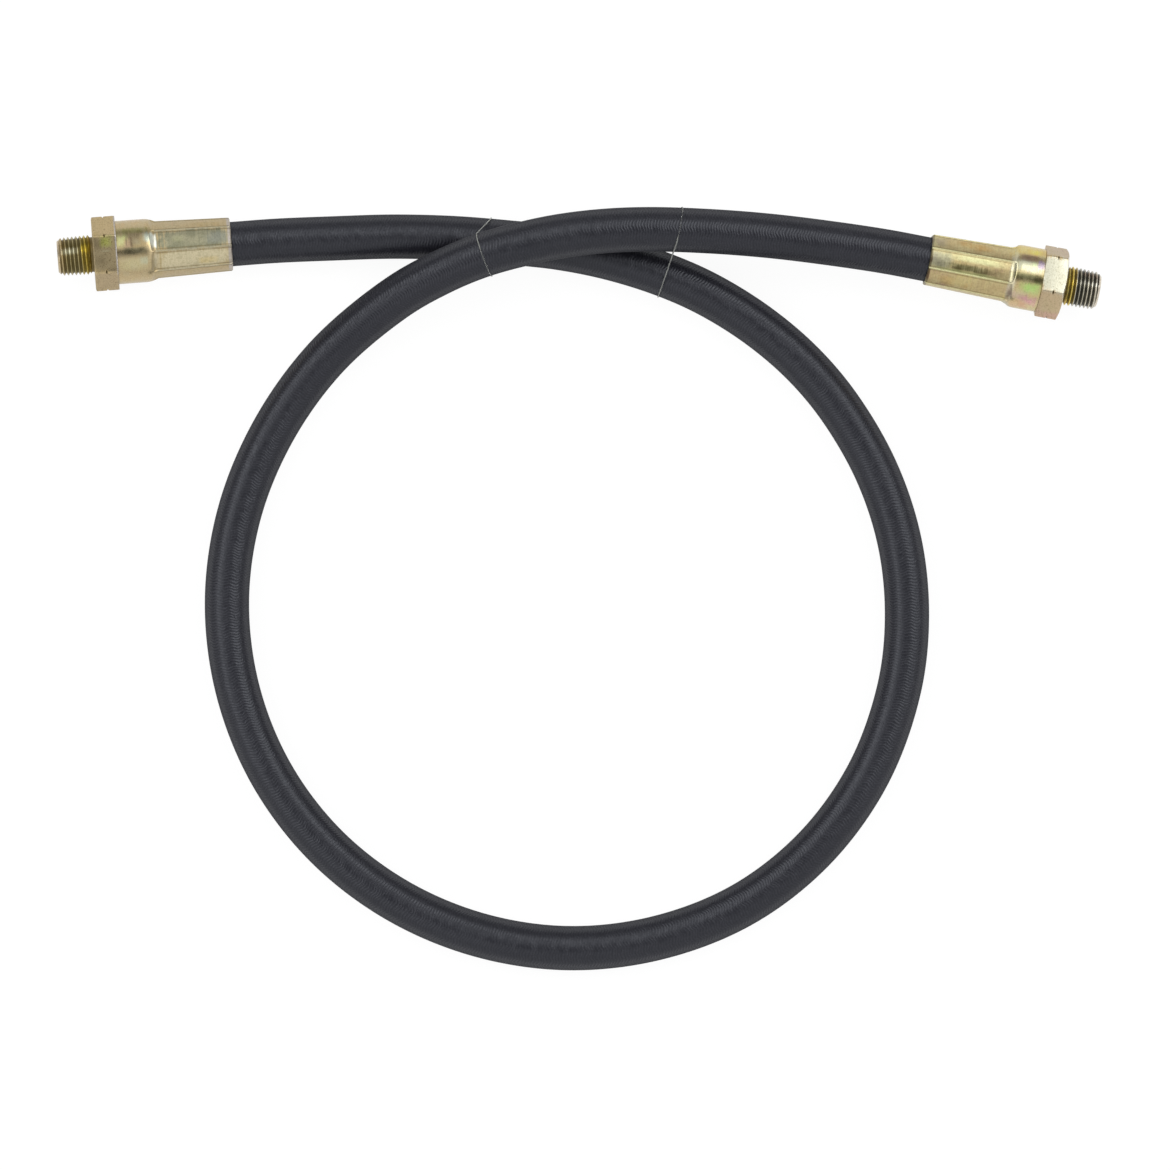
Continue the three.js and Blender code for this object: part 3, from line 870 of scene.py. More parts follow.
@dataclass(frozen=True)
class Route:
    """The hose's centreline: one smooth curve through listed points.

    A point is x, y, and the share of the way up: at first from the surface onto the ties, round the loop
    onto the other strand, and at last the same from the height of the right fitting's mouth.
    """

    tie_diameter: float = 0.0004
    strand_gap: float = 0.0006
    first: tuple[Point, ...] = (
        (-0.0836, 0.0105, 0.15), (-0.0633, 0.0111, 0.4), (-0.043, 0.0106, 1), (-0.024, 0.0091, 1),
        (-0.0063, 0.0072, 1), (0.0114, 0.0036, 1), (0.0294, -0.0021, 1), (0.0447, -0.009, 1),
        (0.0615, -0.0196, 0.4),
    )  # fmt: skip
    loop: tuple[Point, ...] = (
        (0.0765, -0.0325, 0), (0.0891, -0.0477, 0), (0.1013, -0.0691, 0), (0.109, -0.0927, 0),
        (0.1115, -0.1176, 0), (0.1088, -0.1427, 0), (0.0984, -0.1715, 0), (0.0804, -0.1966, 0),
        (0.056, -0.2158, 0), (0.0271, -0.2272, 0), (-0.0036, -0.2308, 0), (-0.034, -0.2263, 0),
        (-0.0623, -0.2143, 0), (-0.0865, -0.1956, 0), (-0.1049, -0.1711, 0), (-0.1161, -0.1428, 0),
        (-0.1197, -0.1126, 0), (-0.1154, -0.0826, 0), (-0.1038, -0.0547, 0.02), (-0.086, -0.0301, 0.14),
        (-0.0626, -0.0104, 0.5), (-0.0467, -0.0015, 0.79), (-0.0333, 0.004, 0.95), (-0.0198, 0.0078, 1),
        (-0.0064, 0.0106, 1),
    )  # fmt: skip
    last: tuple[Point, ...] = (
        (0.0088, 0.0124, 0.97), (0.0241, 0.013, 0.87), (0.0444, 0.0124, 0.67), (0.0647, 0.0109, 0.47),
        (0.0851, 0.0085, 0.285),
    )  # fmt: skip

    @property
    def hose_depth(self) -> float:
        """From a ferrule's mouth to the hose's cut end."""
        return NIPPLE.flange_start - SEAT_GAP

    def points(self) -> Array:
        """Lists the points, from the cut end in the left ferrule to the one in the right ferrule.

        Returns:
            The points.
        """
        lying = HOSE.radius
        on_tie = lying + SEAT_GAP + self.tie_diameter
        on_strand = on_tie + 2 * HOSE.radius + self.strand_gap
        rises = ((lying, on_tie, self.first), (lying, on_strand, self.loop))
        rises = (*rises, (RIGHT.mouth_height, on_strand, self.last))
        middle = [(x, y, low + share * (high - low)) for low, high, row in rises for x, y, share in row]
        ends = (-self.hose_depth, 0.0, 2 * HOSE.radius)
        return np.array([*map(LEFT.on_axis, ends), *middle, *map(RIGHT.on_axis, reversed(ends))])

    def curve(self, per_span: int = 200) -> Array:
        """Draws a centripetal Catmull-Rom curve through the points.

        Args:
            per_span: Samples from one point to the next.

        Returns:
            The samples.
        """
        points = self.points()
        path = np.vstack([2 * points[0] - points[1], points, 2 * points[-1] - points[-2]])
        share = np.linspace(0.0, 1.0, per_span, endpoint=False)[:, None]
        spans = []
        for p0, p1, p2, p3 in zip(path, path[1:], path[2:], path[3:]):
            t0, t1, t2 = (math.sqrt(np.linalg.norm(b - a)) for a, b in ((p0, p1), (p1, p2), (p2, p3)))
            start = ((p1 - p0) / t0 - (p2 - p0) / (t0 + t1) + (p2 - p1) / t1) * t1
            end = ((p2 - p1) / t1 - (p3 - p1) / (t1 + t2) + (p3 - p2) / t2) * t1
            bend, swing = -3 * p1 + 3 * p2 - 2 * start - end, 2 * p1 - 2 * p2 + start + end
            spans.append(p1 + start * share + bend * share**2 + swing * share**3)
        return np.vstack([*spans, points[-1]])


class Centreline:
    """The route as even samples, with the directions across it."""

    def __init__(self, curve: Array) -> None:
        """Measures the curve from close samples of it."""
        steps = np.linalg.norm(np.diff(curve, axis=0), axis=1)
        self.curve, self.travelled = curve, np.concatenate([[0.0], np.cumsum(steps)])

    @property
    def length(self) -> float:
        """The curve's length."""
        return float(self.travelled[-1])

    def at(self, distance: Array) -> Array:
        """Finds the points that lie so far along the curve."""
        return np.stack([np.interp(distance, self.travelled, self.curve[:, axis]) for axis in range(3)], -1)

    def across(self, distance: Array, reach: float = 0.0015) -> tuple[Array, Array]:
        """Finds the directions square to the curve.

        Args:
            distance: How far along each place lies.
            reach: How far before and behind a place the curve is looked at.

        Returns:
            The directions level to the curve's left and upright from it.
        """
        behind = self.at(np.maximum(distance - reach, 0.0))
        forward = self.at(np.minimum(distance + reach, self.length)) - behind
        forward /= np.linalg.norm(forward, axis=1, keepdims=True)
        level = np.cross(np.array([0.0, 0.0, 1.0]), forward)
        level /= np.linalg.norm(level, axis=1, keepdims=True)
        return level, np.cross(forward, level)


# Sub-assemblies


@dataclass
class Hose:
    """The hose's five layers along the route."""

    centreline: Centreline
    depth: float
    sides: int = 48
    coarse_step: float = 0.0016
    fine_step: float = 0.0003
    path_step: float = 0.004
    pieces: list[Object] = field(default_factory=list)

    def build(self, finishes: Mapping[Slot, Material]) -> None:
        """Builds every layer, with closer rings in the fittings, where the crimp and the barbs press in.

        Args:
            finishes: The materials by slot.
        """
        depth, length = self.depth, self.centreline.length
        fine = np.arange(0.0, depth, self.fine_step)
        middle = np.linspace(depth, length - depth, round((length - 2 * depth) / self.coarse_step))
        distance = np.concatenate([fine, middle, length - fine[::-1]])
        turns = np.arange(self.sides) / self.sides
        angles = (FULL * turns)[None, :, None]
        level, upright = (way[:, None, :] for way in self.centreline.across(distance))
        outwards = np.sin(angles) * level - np.cos(angles) * upright
        centres = self.centreline.at(distance)[:, None, :]
        for name, (slot, *radii) in HOSE.layers().items():
            inner, outer = (np.full(len(distance), radius) for radius in radii)
            for place, inside in ((LEFT, depth - distance), (RIGHT, distance - (length - depth))):
                if name == "hose_outer_cover":
                    outer = np.minimum(outer, place.grip(inside))
                if name == "hose_inner_tube":
                    stem, along = zip(*stem_profile(SEAT_GAP))
                    pressed = np.where(inside > along[0], np.interp(inside, along, stem), 0.0)
                    inner = np.maximum(inner, pressed)
            inner, outer = (centres + outwards * radius[:, None, None] for radius in (inner, outer))
            skin = Skin(np.concatenate([outer, inner[::-1]]), np.append(distance, distance[::-1]), turns)
            self.pieces.append(in_place(skin.mesh(f"{name}_smooth"), finishes[slot], name))

    def declare(self, ties: Sequence[Object]) -> None:
        """Args:
            ties: The ties. Not used.
        """
        length = self.centreline.length
        LEFT.on_axis(-FERRULE.edge * 5)
        2 * HOSE.radius
        self.centreline.at(np.linspace(0.0, length, round(length / self.path_step))).tolist()


@dataclass
class Fitting:
    """One end's ferrule and nipple."""

    side: Side
    ferrule_plating: YellowZinc
    nipple_plating: YellowZinc
    crimp_rings: int = 34
    shoulder_rings: int = 44
    collar_rings: int = 12
    die_columns: int = 36
    hex_columns: int = 44
    thread_step: float = 0.00007
    thread_gap: float = 0.00005
    tip_wear: float = 1.4
    ring_gaps: Pair = (0.0006, 0.0003)
    eases: Three = (0.0001, 0.0002, 0.0003)
    # Painted shade beside the fins: its distance from a fin and its reach, in fin widths, and its strength.
    fin_shade: Three = (1.1, 0.5, 0.55)
    fin_wear: Three = (0.0, 0.9, 1.0)
    corner_wear: Three = (0.0016, 0.72, 0.6)

    @property
    def word(self) -> str:
        """The side's name as the nodes have it."""
        return self.side.name.lower()

    def skin(self, radii: Array, along: Array, angles: Array, extra_turn: float = 0.0) -> Skin:
        """Turns a profile about the fitting's axis, from +Z towards +X.

        Args:
            radii: The radii, by ring and column.
            along: The places along, by ring and column.
            angles: Each column's angle.
            extra_turn: Degrees that the piece is turned beside the hexagon's turn.

        Returns:
            The skin, where it lies.
        """
        matrix = self.side.value.matrix(extra_turn)
        points = np.stack([radii * np.sin(angles), along, radii * np.cos(angles)], axis=-1)
        points = points @ np.array(matrix.to_3x3()).T + np.array(matrix.translation)
        return Skin(points[::-1], along[::-1].mean(axis=1), angles / FULL)

    def off_fin(self, angles: Array) -> Array:
        """How far the angles are off the fin nearest to each."""
        half_sector = math.pi / FERRULE.dies
        return np.abs((angles + half_sector) % (2 * half_sector) - half_sector)

    def shell_radius(self, along: Array, angles: Array) -> Array:
        """The ferrule's outside where the dies have pressed it, and past them.

        Args:
            along: Places along, by ring and column.
            angles: Each column's angle.

        Returns:
            The radii.
        """
        sizes, end, flattening = FERRULE, self.side.value.crimp_length, FERRULE.die_flattening
        crest_end = sizes.face_radius + sizes.crimp_rise + sizes.fin_height
        shoulder = np.clip((along - end) / sizes.shoulder_length, 0.0, 1.0)
        blank = np.interp(along, [0.0, end], [sizes.face_radius + sizes.fin_height, crest_end])
        blank = blank + (sizes.collar_radius - crest_end) * np.sin(shoulder * math.pi / 2)
        half_sector = math.pi / sizes.dies
        off_middle = np.abs(self.off_fin(angles) - half_sector)
        half = half_sector - sizes.fin_width / 2 / sizes.face_radius
        lead = np.clip((along - end) / sizes.die_lead, 0.0, 1.0)
        lift = (1 - np.cos(lead * math.pi / 2)) * (sizes.collar_radius - sizes.face_radius)
        face = sizes.face_radius + np.interp(along, [0.0, end], [0.0, sizes.crimp_rise]) + lift
        reach = np.sqrt((face + flattening) ** 2 - (flattening * np.sin(off_middle)) ** 2)
        pressed = reach - flattening * np.cos(off_middle)
        wall = np.maximum(off_middle - half, 0.0) * sizes.face_radius * sizes.fin_slope
        return lesser(blank, pressed + wall, sizes.fin_blend)

    def build_ferrule(self) -> None:
        """Builds the crimped shell, with columns that stand closest at the fins."""
        sizes, place = FERRULE, self.side.value
        within = 0.5 - 0.5 * np.cos(math.pi * (np.arange(self.die_columns) / self.die_columns))
        angles = (np.arange(sizes.dies)[:, None] + within[None, :]).ravel() * FULL / sizes.dies
        edge, end, tail = sizes.edge, place.crimp_length, sizes.length + sizes.tail_growth
        shoulder_end, lip_start = end + sizes.shoulder_length, sizes.length - sizes.lip_length
        before, after = self.ring_gaps
        spans = (
            (edge, end - before, self.crimp_rings),
            (end - after, shoulder_end, self.shoulder_rings),
            (shoulder_end + edge, tail - edge / 8, self.collar_rings),
        )
        places = np.concatenate([np.linspace(*span) for span in spans])
        outside = self.shell_radius(np.broadcast_to(places[:, None], (len(places), len(angles))), angles)
        rows: list[Row] = [
            (outside[0] - edge, 0.0, edge / 2),
            *((radius, where, 0.0) for radius, where in zip(outside, places)),
            (outside[-1] - edge / 8, tail, edge / 16),
            (sizes.lip_radius, tail, edge / 2),
            (sizes.lip_radius, lip_start, edge / 2),
            (sizes.cavity_radius, lip_start, edge),
            *((radius, where, edge / 3) for radius, where in reversed(place.bore())),
        ]
        radii, along = eased(rows, len(angles))
        skin = self.skin(radii, along, angles, place.crimp_turn - place.hex_turn)
        # Painted shade lies in lines beside the fins, and the fins themselves are rubbed.
        to_fin = self.off_fin(angles) * sizes.face_radius / sizes.fin_width
        crimped = np.clip((end + 0.001 - along) / 0.001, 0.0, 1.0) * (radii > sizes.cavity_radius)
        for mark, (away, reach, strength) in ((Skin.RECESS, self.fin_shade), (Skin.WEAR, self.fin_wear)):
            line = np.clip(1 - np.abs(to_fin - away) / reach, 0.0, 1.0)
            skin.marks[mark] = (line * crimped)[::-1] * strength
        mesh = skin.mesh(f"{self.word}_ferrule_crimped")
        in_place(mesh, self.ferrule_plating.build(), f"{self.word}_ferrule")

    def crest_radius(self, along: Array, tip: float) -> Array:
        """The thread's taper over its crests, at places along."""
        return NIPPLE.thread_diameter / 2 + (tip - NIPPLE.gauge_length - along) * NIPPLE.taper / 2

    def build_nipple(self) -> None:
        """Builds the nipple, whose thread is a right-handed helix with rounded crests and roots."""
        sizes, columns, edge = NIPPLE, 6 * self.hex_columns, NIPPLE.hex_edge
        angles = (np.arange(columns) + 0.5) * FULL / columns
        flat, flow = sizes.across_flats / 2, sizes.flow_diameter / 2
        neck, flange = sizes.neck_diameter / 2, sizes.flange_diameter / 2
        back = FERRULE.length + SEAT_GAP
        middle, front = back + sizes.hex_width / 2, back + sizes.hex_width
        tip = front + sizes.thread_length
        flats = [flat / np.maximum(np.cos(angles - i * math.pi / 3), 0.4) for i in range(6)]
        outline = lesser(*np.sort(np.stack(flats), axis=0)[:2], sizes.corner_blend)
        floor = sizes.corner_radius - sizes.groove_depth
        reach = np.maximum(outline - floor, 1e-6) * (sizes.groove_half_width / sizes.groove_depth)
        face = np.minimum(self.side.value.hex_face_diameter / 2, outline - 0.0001)
        chamfer_start = front - np.maximum(outline - face, 1e-6) * math.tan(sizes.chamfer_angle)
        places = np.arange(front + self.thread_gap, tip, self.thread_step)[:, None]
        depth, crest = sizes.thread_depth, self.crest_radius(places, tip)
        neck_out = np.clip((places - places[0]) / sizes.undercut - 0.5, 0.0, 1.0) * 2
        worn = crest - (places - (tip - sizes.tip_chamfer)) * (depth * self.tip_wear / sizes.tip_chamfer)
        helix = 0.5 - 0.5 * np.cos(FULL * (places / sizes.pitch - angles[None, :] / FULL))
        thread = np.minimum(np.minimum(crest - depth * helix, crest - depth + neck_out * depth), worn)
        slight, soft, full = self.eases
        rows: list[Row] = [
            *((radius, where, slight) for radius, where in stem_profile()),
            (sizes.stem_diameter / 2, sizes.flange_start, soft),
            (flange, sizes.flange_start, full),
            (flange, sizes.flange_end, full),
            (neck, sizes.flange_end, soft),
            (neck, back, slight),
            (outline, back, edge),
            (outline, middle - reach, edge / 3),
            (np.minimum(outline, floor), middle, slight),
            (outline, middle + reach, edge / 3),
            (outline, chamfer_start, edge),
            (face - edge, front, edge),
            *((radius, where[0], 0.0) for radius, where in zip(thread, places)),
            (flow + sizes.flow_chamfer, tip, soft),
            (flow, tip - sizes.flow_chamfer, slight),
            (flow, sizes.stem_setback, slight),
        ]
        radii, along = eased(rows, columns)
        skin = self.skin(radii, along, angles)
        # Painted shade lies in the turned groove's nicks and in the thread's roots, and the corners are
        # rubbed.
        cut = np.clip((outline - radii) * 3 / sizes.groove_depth, 0.0, 1.0)
        nicks = cut * (np.abs(along - middle) < sizes.groove_half_width)
        low = np.clip((self.crest_radius(along, tip) - radii) / depth, 0.0, 1.0)
        threaded = (along > front + 0.0001) & (along < tip - sizes.tip_chamfer * 0.5)
        power, strength = self.side.value.root_shade
        painted_shade = low**power * (threaded & (radii > sizes.flow_diameter)) * strength
        skin.marks[Skin.RECESS] = np.maximum(painted_shade, nicks)[::-1]
        corner_depth, start, strength = self.corner_wear
        corner = np.clip((outline - flat) / corner_depth - start, 0.0, 1.0)
        on_hexagon = (along > back) & (along < front) & (radii > flat - edge)
        skin.marks[Skin.WEAR] = (corner * on_hexagon)[::-1] * strength
        mesh = skin.mesh(f"{self.word}_nipple_threaded")
        in_place(mesh, self.nipple_plating.build(), f"{self.word}_nipple")


@dataclass
class Tie:
    """A filament drawn once round the two strands, half a turn round each.

    It goes over the upper strand and under the lower one, each at an x and slanting so many degrees.
    """

    name: str
    over: Pair
    under: Pair
    centreline: Centreline
    diameter: float
    filament: ClearFilament
    slack: float = 0.00005
    steps: int = 20
    strands_part_at: float = 0.0155
    samples: int = 20000
    loop_is_below: float = -0.05

    def crossing(self, x: float, slant: float, upper: bool) -> tuple[Array, Array]:
        """Finds where the filament crosses a strand.

        Args:
            x: The place.
            slant: Degrees that the filament slants from square.
            upper: Whether it is the upper strand.

        Returns:
            The strand's centre there, and the direction square to the filament's half circle.
        """
        distance = np.linspace(0.0, self.centreline.length, self.samples)
        points = self.centreline.at(distance)
        wanted = (points[:, 1] > self.loop_is_below) & ((points[:, 2] > self.strands_part_at) == upper)
        nearest = np.argmin(np.where(wanted, np.abs(points[:, 0] - x), np.inf))
        level, upright = self.centreline.across(distance[nearest : nearest + 1])
        turn = np.array(Matrix.Rotation(math.radians(slant), 3, "Z"))
        return points[nearest], turn @ np.cross(level[0], upright[0])

    def build(self) -> Object:
        """Builds the tie as a closed curve.

        Returns:
            The piece.
        """
        radius = HOSE.radius + self.slack + self.diameter / 2
        over, under = self.crossing(*self.over, upper=True), self.crossing(*self.under, upper=False)
        lean = over[0] - under[0]
        points = []
        for (centre, forward), sign in ((over, 1.0), (under, -1.0)):
            rise = lean - forward * (lean @ forward)
            rise /= np.linalg.norm(rise)
            level = np.cross(rise, forward)
            for sweep in np.linspace(0.0, math.pi, self.steps + 1):
                points.append(centre + sign * radius * (level * math.cos(sweep) + rise * math.sin(sweep)))
        curve = bpy.data.curves.new(f"{self.name}_line", "CURVE")
        curve.dimensions = "3D"
        curve.bevel_depth, curve.bevel_resolution = self.diameter / 2, 4
        spline = curve.splines.new("POLY")
        spline.points.add(len(points) - 1)
        for knot, point in zip(spline.points, points):
            knot.co = (*point, 1.0)
        spline.use_cyclic_u = True
        return in_place(curve, self.filament.build(), self.name)


# The studio


@dataclass(frozen=True)
class Studio:
    """A white table under soft light, seen from straight above."""

    view_centre: Pair = (0.00203, -0.10733)
    view_width: float = 0.3978
    view_distance: float = 3.0
    sensor: float = 36.0
    floor_size: float = 6.0
    floor_white: float = 0.9
    floor_glow: float = 1.03
    mirrored_glow: float = 0.7
    backdrop_share: float = 0.9
    room: tuple[Pair, ...] = (
        (-90, 0.87), (-30, 1.0), (13, 1.1), (53, 1.04), (61, 0.42), (79, 0.42), (86, 0.95), (90, 0.95),
    )  # fmt: skip
    ceiling_edge: tuple[Pair, ...] = ((-90, 0.0), (-22, 0.0), (-14, 1.0), (5, 1.0), (12, 0.0))
    ceiling_reach: Pair = (16.0, 30.0)
    ceiling_dimming: float = 0.86
    far_sides: Pair = (58.0, 66.0)
    far_dimming: float = 0.75
    softbox_heights: tuple[float, float, float, float] = (0.54, 0.62, 0.8, 0.86)
    softbox_front: Pair = (-0.12, 0.16)
    softbox_sides: Pair = (0.24, 0.52)
    softbox_level: float = 3.0
    lamps: tuple[tuple[str, Point, float, float], ...] = (
        ("soft_lamp_right", (0.5, 0.55, 1.1), 0.6, 0.9), ("soft_lamp_left", (-0.9, -0.5, 0.9), 0.9, 1.6),
    )  # fmt: skip

    def place_camera(self) -> None:
        """Places the camera over the middle of the view, with +Y up the picture."""
        lens = bpy.data.cameras.new("camera")
        lens.sensor_width = self.sensor
        lens.lens = self.sensor * self.view_distance / self.view_width
        lens.clip_start, lens.clip_end = 0.01, 20.0
        camera = linked(bpy.data.objects.new("camera", lens))
        camera.location = (*self.view_centre, HOSE.radius + self.view_distance)
        bpy.context.scene.camera = camera

    def lay_floor(self) -> None:
        """Lays the white table, which keeps a faint shadow."""
        half = self.floor_size / 2
        mesh = bpy.data.meshes.new("table")
        corners = [(-half, -half, 0.0), (half, -half, 0.0), (half, half, 0.0), (-half, half, 0.0)]
        mesh.from_pydata(corners, [], [(0, 1, 2, 3)])
        material, bench = bench_for("white_table")
        matt = bench.node("ShaderNodeBsdfDiffuse", {}, {"Color": (self.floor_white,) * 3})
        glow = {"Color": (1.0, 1.0, 1.0), "Strength": self.floor_glow}
        shining = bench.node("ShaderNodeEmission", {}, glow)
        rays = ("Is Camera Ray", "Is Glossy Ray", "Is Transmission Ray")
        seen, mirrored, through = bench.outputs("ShaderNodeLightPath", rays)
        share = seen.at_least(mirrored * self.mirrored_glow).at_least(through) * self.backdrop_share
        blend = bench.node("ShaderNodeMixShader", {}, {0: share, 1: matt, 2: shining})
        bench.node("ShaderNodeOutputMaterial", {}, {"Surface": blend})
        mesh.materials.append(material)
        linked(bpy.data.objects.new("table", mesh))

    def light(self) -> None:
        """Lights the table from the whole room, with a soft lamp on each side."""
        world = bpy.data.worlds.new("studio")
        world.use_nodes = True
        bpy.context.scene.world = world
        bench = NodeBench(world.node_tree)
        towards = bench.node("ShaderNodeTexCoord", output="Generated")
        aside, over, up = bench.outputs("ShaderNodeSeparateXYZ", "XYZ", {"Vector": towards})
        half_turns = over.math("ARCTAN2", over, up) * (1 / math.pi) + 0.5
        sideways = aside.math("ARCTAN2", aside, up).size() * (180 / math.pi)
        room, ceiling = (
            half_turns.ramp([(0.5 + degrees / 180, (level,) * 3) for degrees, level in levels])
            for levels in (self.room, self.ceiling_edge)
        )
        dimming = ceiling * sideways.spread(*self.ceiling_reach, self.ceiling_dimming, 0.0)
        far_sides = sideways.spread(*self.far_sides) * over.spread(-0.2, 0.1) * self.far_dimming
        room = bench.mix(dimming.at_least(far_sides) * up.spread(0.0, 0.06), room, (0.0, 0.0, 0.0))
        low, lit, unlit, high = self.softbox_heights
        softbox = up.spread(low, lit) * up.spread(unlit, high, 1.0, 0.0) * over.spread(*self.softbox_front)
        softbox = softbox * aside.size().spread(*self.softbox_sides)
        room = bench.mix(softbox, room, (self.softbox_level,) * 3, "ADD")
        (seen,) = bench.outputs("ShaderNodeLightPath", ["Is Camera Ray"])
        shown = bench.mix(seen, room, (1.0, 1.0, 1.0))
        glow = bench.node("ShaderNodeBackground", {}, {"Color": shown, "Strength": 1.0})
        bench.node("ShaderNodeOutputWorld", {}, {"Surface": glow})
        for name, where, size, power in self.lamps:
            lamp = bpy.data.lights.new(name, "AREA")
            lamp.size, lamp.energy = size, power
            holder = linked(bpy.data.objects.new(name, lamp))
            holder.location = where
            aim = Vector((*self.view_centre, 0.0)) - Vector(where)
            holder.rotation_euler = aim.to_track_quat("-Z", "Y").to_euler()

    def build(self) -> None:
        """Sets up the whole studio."""
        self.place_camera()
        self.lay_floor()
        self.light()
        bpy.context.scene.view_settings.view_transform = "Standard"
        LOG.info("studio ready")


# The fittings' patches: stains in the film, and in the marked rows painted highlights, reflections, shade and
# shadow. A row has a patch's place, its reach, its colour, its strength and its fade.

LEFT_FERRULE_STAINS_AND_LIGHT = (
    (17, 12.5, 24, 14.2, (0.212, 0.214, 0.142), 0.95, 0.25),
    (17, 4, 18, 6, (0.245, 0.255, 0.215), 0.7),
    (20, 18, 10, 3, (0.33, 0.33, 0.19), 0.6),
    (-28, 13, 23, 14, (0.63, 0.56, 0.375), 0.9, 0.3),
    (-34, 8.5, 10, 4.5, (0.62, 0.49, 0.22), 0.6),
    (56, 8, 12, 6, (0.45, 0.34, 0.16), 0.6),
    (0, 0.3, 1000, 1.2, (0.48, 0.44, 0.43), 0.8, 0.4),
    # These two rows paint the bright crescent of reflected light on the shoulder.
    (18, 26.6, 18, 1.3, (0.76, 0.78, 0.7), 0.95, 0.5),
    (-28, 26.3, 24, 1.3, (0.64, 0.6, 0.45), 0.5, 0.8),
    (39, 33.5, 9, 7.5, (0.28, 0.27, 0.09), 0.7),
    (19, 33.5, 17, 5.2, (0.24, 0.19, 0.11), 0.9),
    (20, 37.1, 17, 2.4, (0.58, 0.63, 0.26), 0.85, 0.9),
    (11, 35.3, 15, 2.2, (0.48, 0.33, 0.22), 0.7, 1.0),
    (14, 33.9, 15, 0.6, (0.14, 0.1, 0.055), 0.8, 0.9),
    (16, 35.6, 12, 0.3, (0.2, 0.14, 0.085), 0.7, 0.9),
    # A painted pale highlight at the shoulder's collar end.
    (24, 28.5, 12, 1.8, (0.5, 0.56, 0.47), 0.85),
    (-1, 33, 8, 6, (0.22, 0.2, 0.115), 0.8),
    (-26, 33.5, 17, 6, (0.55, 0.49, 0.27), 0.7),
    (-20, 30, 10, 2, (0.5, 0.52, 0.36), 0.7),
    (68, 34, 20, 5, (0.49, 0.36, 0.19), 0.5),
)
LEFT_NIPPLE_STAINS_AND_LIGHT = (
    (-3, 43, 31, 6, (0.385, 0.308, 0.178), 0.95, 0.2),
    (17, 42.4, 12, 2.7, (0.46, 0.47, 0.12), 0.9, 0.8),
    (2, 42.8, 2, 2.2, (0.48, 0.43, 0.28), 0.7),
    (0, 39.1, 1000, 0.4, (0.48, 0.47, 0.48), 0.7, 0.4),
    (-64, 43, 32, 6, (0.385, 0.295, 0.17), 0.9, 0.2),
    (0, 53, 1000, 6, (0.37, 0.325, 0.165), 0.9, 0.7),
    (0, 49.4, 1000, 2.1, (0.58, 0.47, 0.1), 0.9, 0.6),
    # These two rows paint highlights on the thread: gold beside the hexagon, pale further out.
    (20, 49.4, 16, 2.1, (0.8, 0.66, 0.13), 0.9, 0.6),
    (14, 55, 15, 4, (0.76, 0.76, 0.62), 0.9, 0.9),
    (0, 59.3, 1000, 1.4, (0.55, 0.46, 0.33), 0.8, 0.5),
)
RIGHT_FERRULE_STAINS_AND_LIGHT = (
    (-3, 3, 24, 5.5, (0.4, 0.39, 0.27), 0.85, 0.5),
    (-15, 16, 10, 11.5, (0.62, 0.61, 0.33), 0.9),
    (6, 13, 10, 8.5, (0.19, 0.165, 0.07), 0.95),
    (16, 13, 5, 14, (0.55, 0.57, 0.25), 0.8),
    (-52, 14.5, 15, 6.5, (0.52, 0.34, 0.13), 0.85),
    (-48, 2, 22, 4, (0.4, 0.36, 0.24), 0.6),
    (44, 10, 15, 7, (0.57, 0.42, 0.17), 0.7),
    # A painted shadow: a dark brown ring round the mouth's rim.
    (0, 0, 1000, 0.9, (0.1, 0.06, 0.035), 0.85, 0.3),
    (0, 28.6, 1000, 1.5, (0.5, 0.48, 0.36), 0.7, 0.6),
    (-20, 33.5, 16, 6.5, (0.6, 0.61, 0.44), 0.9),
    (-18, 35.2, 14, 1, (0.66, 0.8, 0.46), 0.8),
    (-62, 33, 26, 8, (0.63, 0.48, 0.15), 0.9),
    (-55, 35.2, 9, 2.2, (0.66, 0.58, 0.14), 0.8),
    (-38, 34.5, 9, 6, (0.44, 0.3, 0.2), 0.7),
    (-27, 37.6, 11, 1.8, (0.56, 0.43, 0.64), 0.85),
    (0, 33.5, 9, 7, (0.22, 0.21, 0.085), 0.85),
    (21, 35.2, 17, 4.6, (0.42, 0.62, 0.19), 0.95, 1.0),
    (38, 31, 15, 5, (0.58, 0.42, 0.34), 0.8, 1.0),
    (49, 35.8, 20, 4.2, (0.62, 0.33, 0.35), 0.95, 1.0),
    (64, 32, 18, 6, (0.56, 0.345, 0.21), 0.8),
)
RIGHT_NIPPLE_STAINS_AND_LIGHT = (
    (-13, 43, 31, 6, (0.55, 0.545, 0.437), 0.95, 0.2),
    # A painted highlight, nearly white, along the hexagon's front edge.
    (0, 47.1, 1000, 0.7, (0.9, 0.9, 0.88), 0.85, 0.5),
    (44, 43, 28, 6, (0.53, 0.41, 0.255), 0.8, 0.3),
    (72, 43, 14, 6, (0.57, 0.36, 0.29), 0.85),
    (0, 48.9, 1000, 1.8, (0.86, 0.68, 0.16), 0.95, 0.3),
    (30, 48.5, 34, 1.4, (0.6, 0.53, 0.18), 0.8),
    (0, 52.5, 1000, 2.6, (0.3, 0.3, 0.26), 0.8, 1.0),
    # These two rows paint light on the bare thread: shade further round, and a pale highlight nearer the top.
    (-50, 56, 14, 6, (0.34, 0.26, 0.2), 0.8),
    (-17, 56, 9, 5, (0.85, 0.84, 0.76), 0.8),
    (0, 59.3, 1000, 1.4, (0.74, 0.66, 0.55), 0.9, 0.5),
)
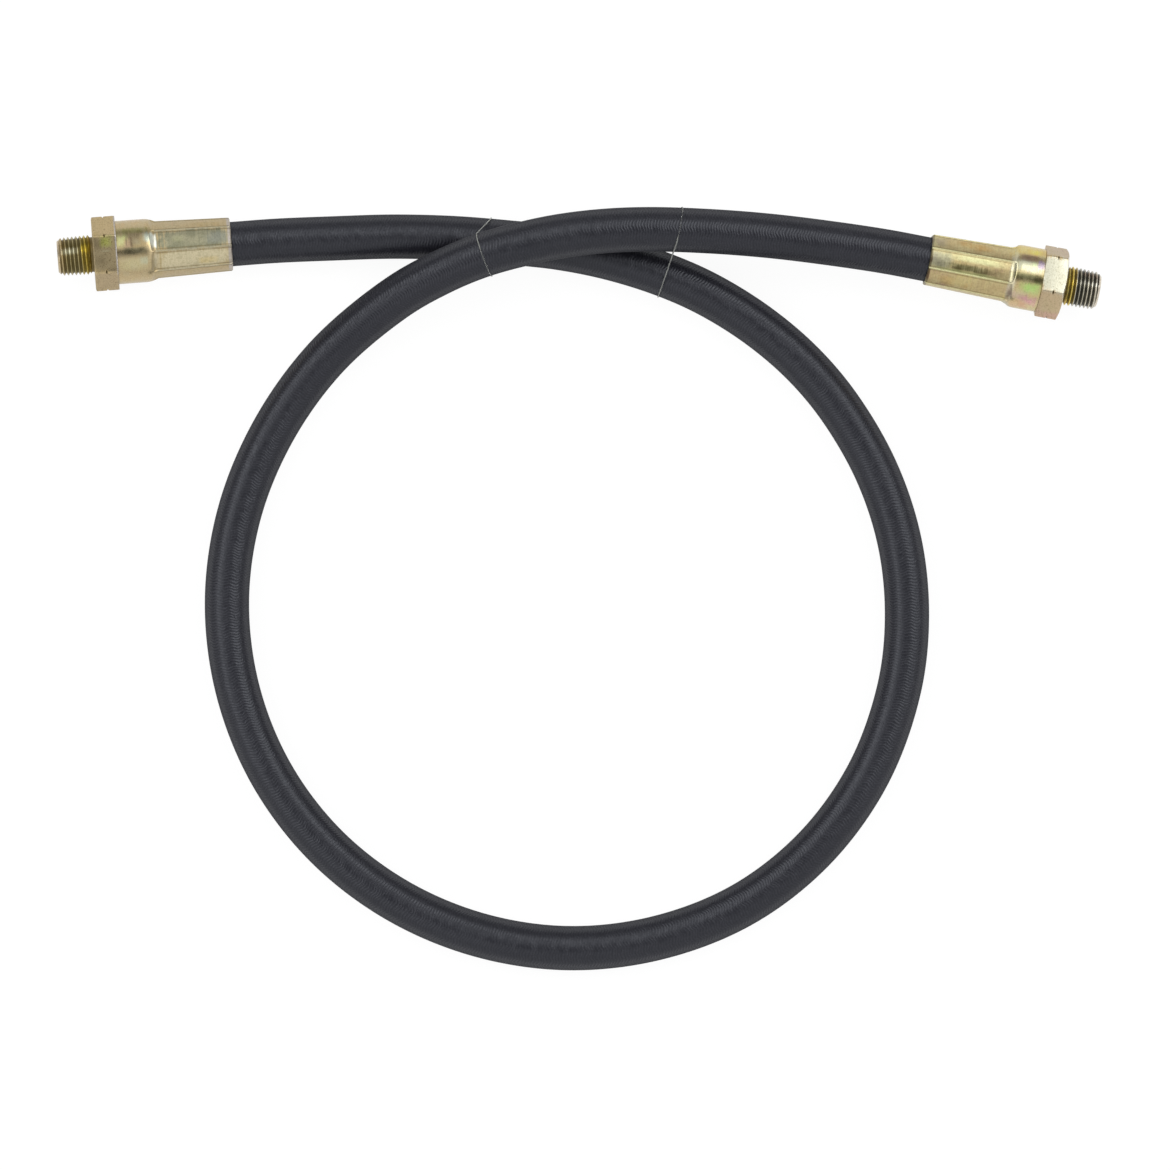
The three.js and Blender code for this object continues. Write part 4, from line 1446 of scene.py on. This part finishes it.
PLATINGS = {
    Side.LEFT: (
        YellowZinc(
            "left_ferrule_yellow_zinc", 1.0, LEFT.crimp_turn, roughness=0.19, dents=0.4,
            crimp_until=LEFT.crimp_length + 0.002, straw=(0.47, 0.37, 0.21), stains_and_light=LEFT_FERRULE_STAINS_AND_LIGHT,
        ),
        YellowZinc(
            "left_nipple_yellow_zinc", 2.0, LEFT.hex_turn, film=0.44, paleness=0.1, speckle=1.0,
            straw=(0.47, 0.36, 0.19), stains_and_light=LEFT_NIPPLE_STAINS_AND_LIGHT,
        ),
    ),
    Side.RIGHT: (
        YellowZinc(
            "right_ferrule_yellow_zinc", 4.0, RIGHT.crimp_turn, roughness=0.16, crimp_roughness=0.27,
            crimp_until=RIGHT.crimp_length + 0.002, dents=0.35, straw=(0.53, 0.415, 0.215),
            gold=(0.57, 0.415, 0.165), pale=(0.74, 0.74, 0.42), stains_and_light=RIGHT_FERRULE_STAINS_AND_LIGHT,
        ),
        YellowZinc(
            "right_nipple_yellow_zinc", 5.0, RIGHT.hex_turn, paleness=0.2, speckle=0.8, bare_from=0.0502,
            straw=(0.5, 0.39, 0.25), painted_shade=(0.085, 0.06, 0.02), stains_and_light=RIGHT_NIPPLE_STAINS_AND_LIGHT,
        ),
    ),
}  # fmt: skip


def main() -> None:
    """Loads the frame and dresses it."""
    logging.basicConfig(level=logging.INFO, format="%(name)s: %(message)s")
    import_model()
    Studio().build()
    rubber, inner, wire = CoverRubber().build(), InnerRubber().build(), BraidWire().build()
    route = Route()
    centreline = Centreline(route.curve())
    LOG.info("hose: %.1f mm along its centreline", centreline.length * 1000)
    hose = Hose(centreline, route.hose_depth)
    hose.build({Slot.COVER: rubber, Slot.INNER: inner, Slot.WIRE: wire})
    left_filament = ClearFilament("left_filament_nylon", (-0.02, 0.0062), 0.3)
    right_filament = ClearFilament("right_filament_nylon", (0.01, 0.019), 0.15)
    ties = (
        Tie("left_tie", (-0.032, 1.0), (-0.0306, 0.0), centreline, route.tie_diameter, left_filament),
        Tie("right_tie", (0.0333, -10.0), (0.0296, 0.0), centreline, route.tie_diameter, right_filament),
    )
    hose.declare([tie.build() for tie in ties])
    for side, platings in PLATINGS.items():
        fitting = Fitting(side, *platings)
        fitting.build_ferrule()
        fitting.build_nipple()


if __name__ == "__main__":
    main()
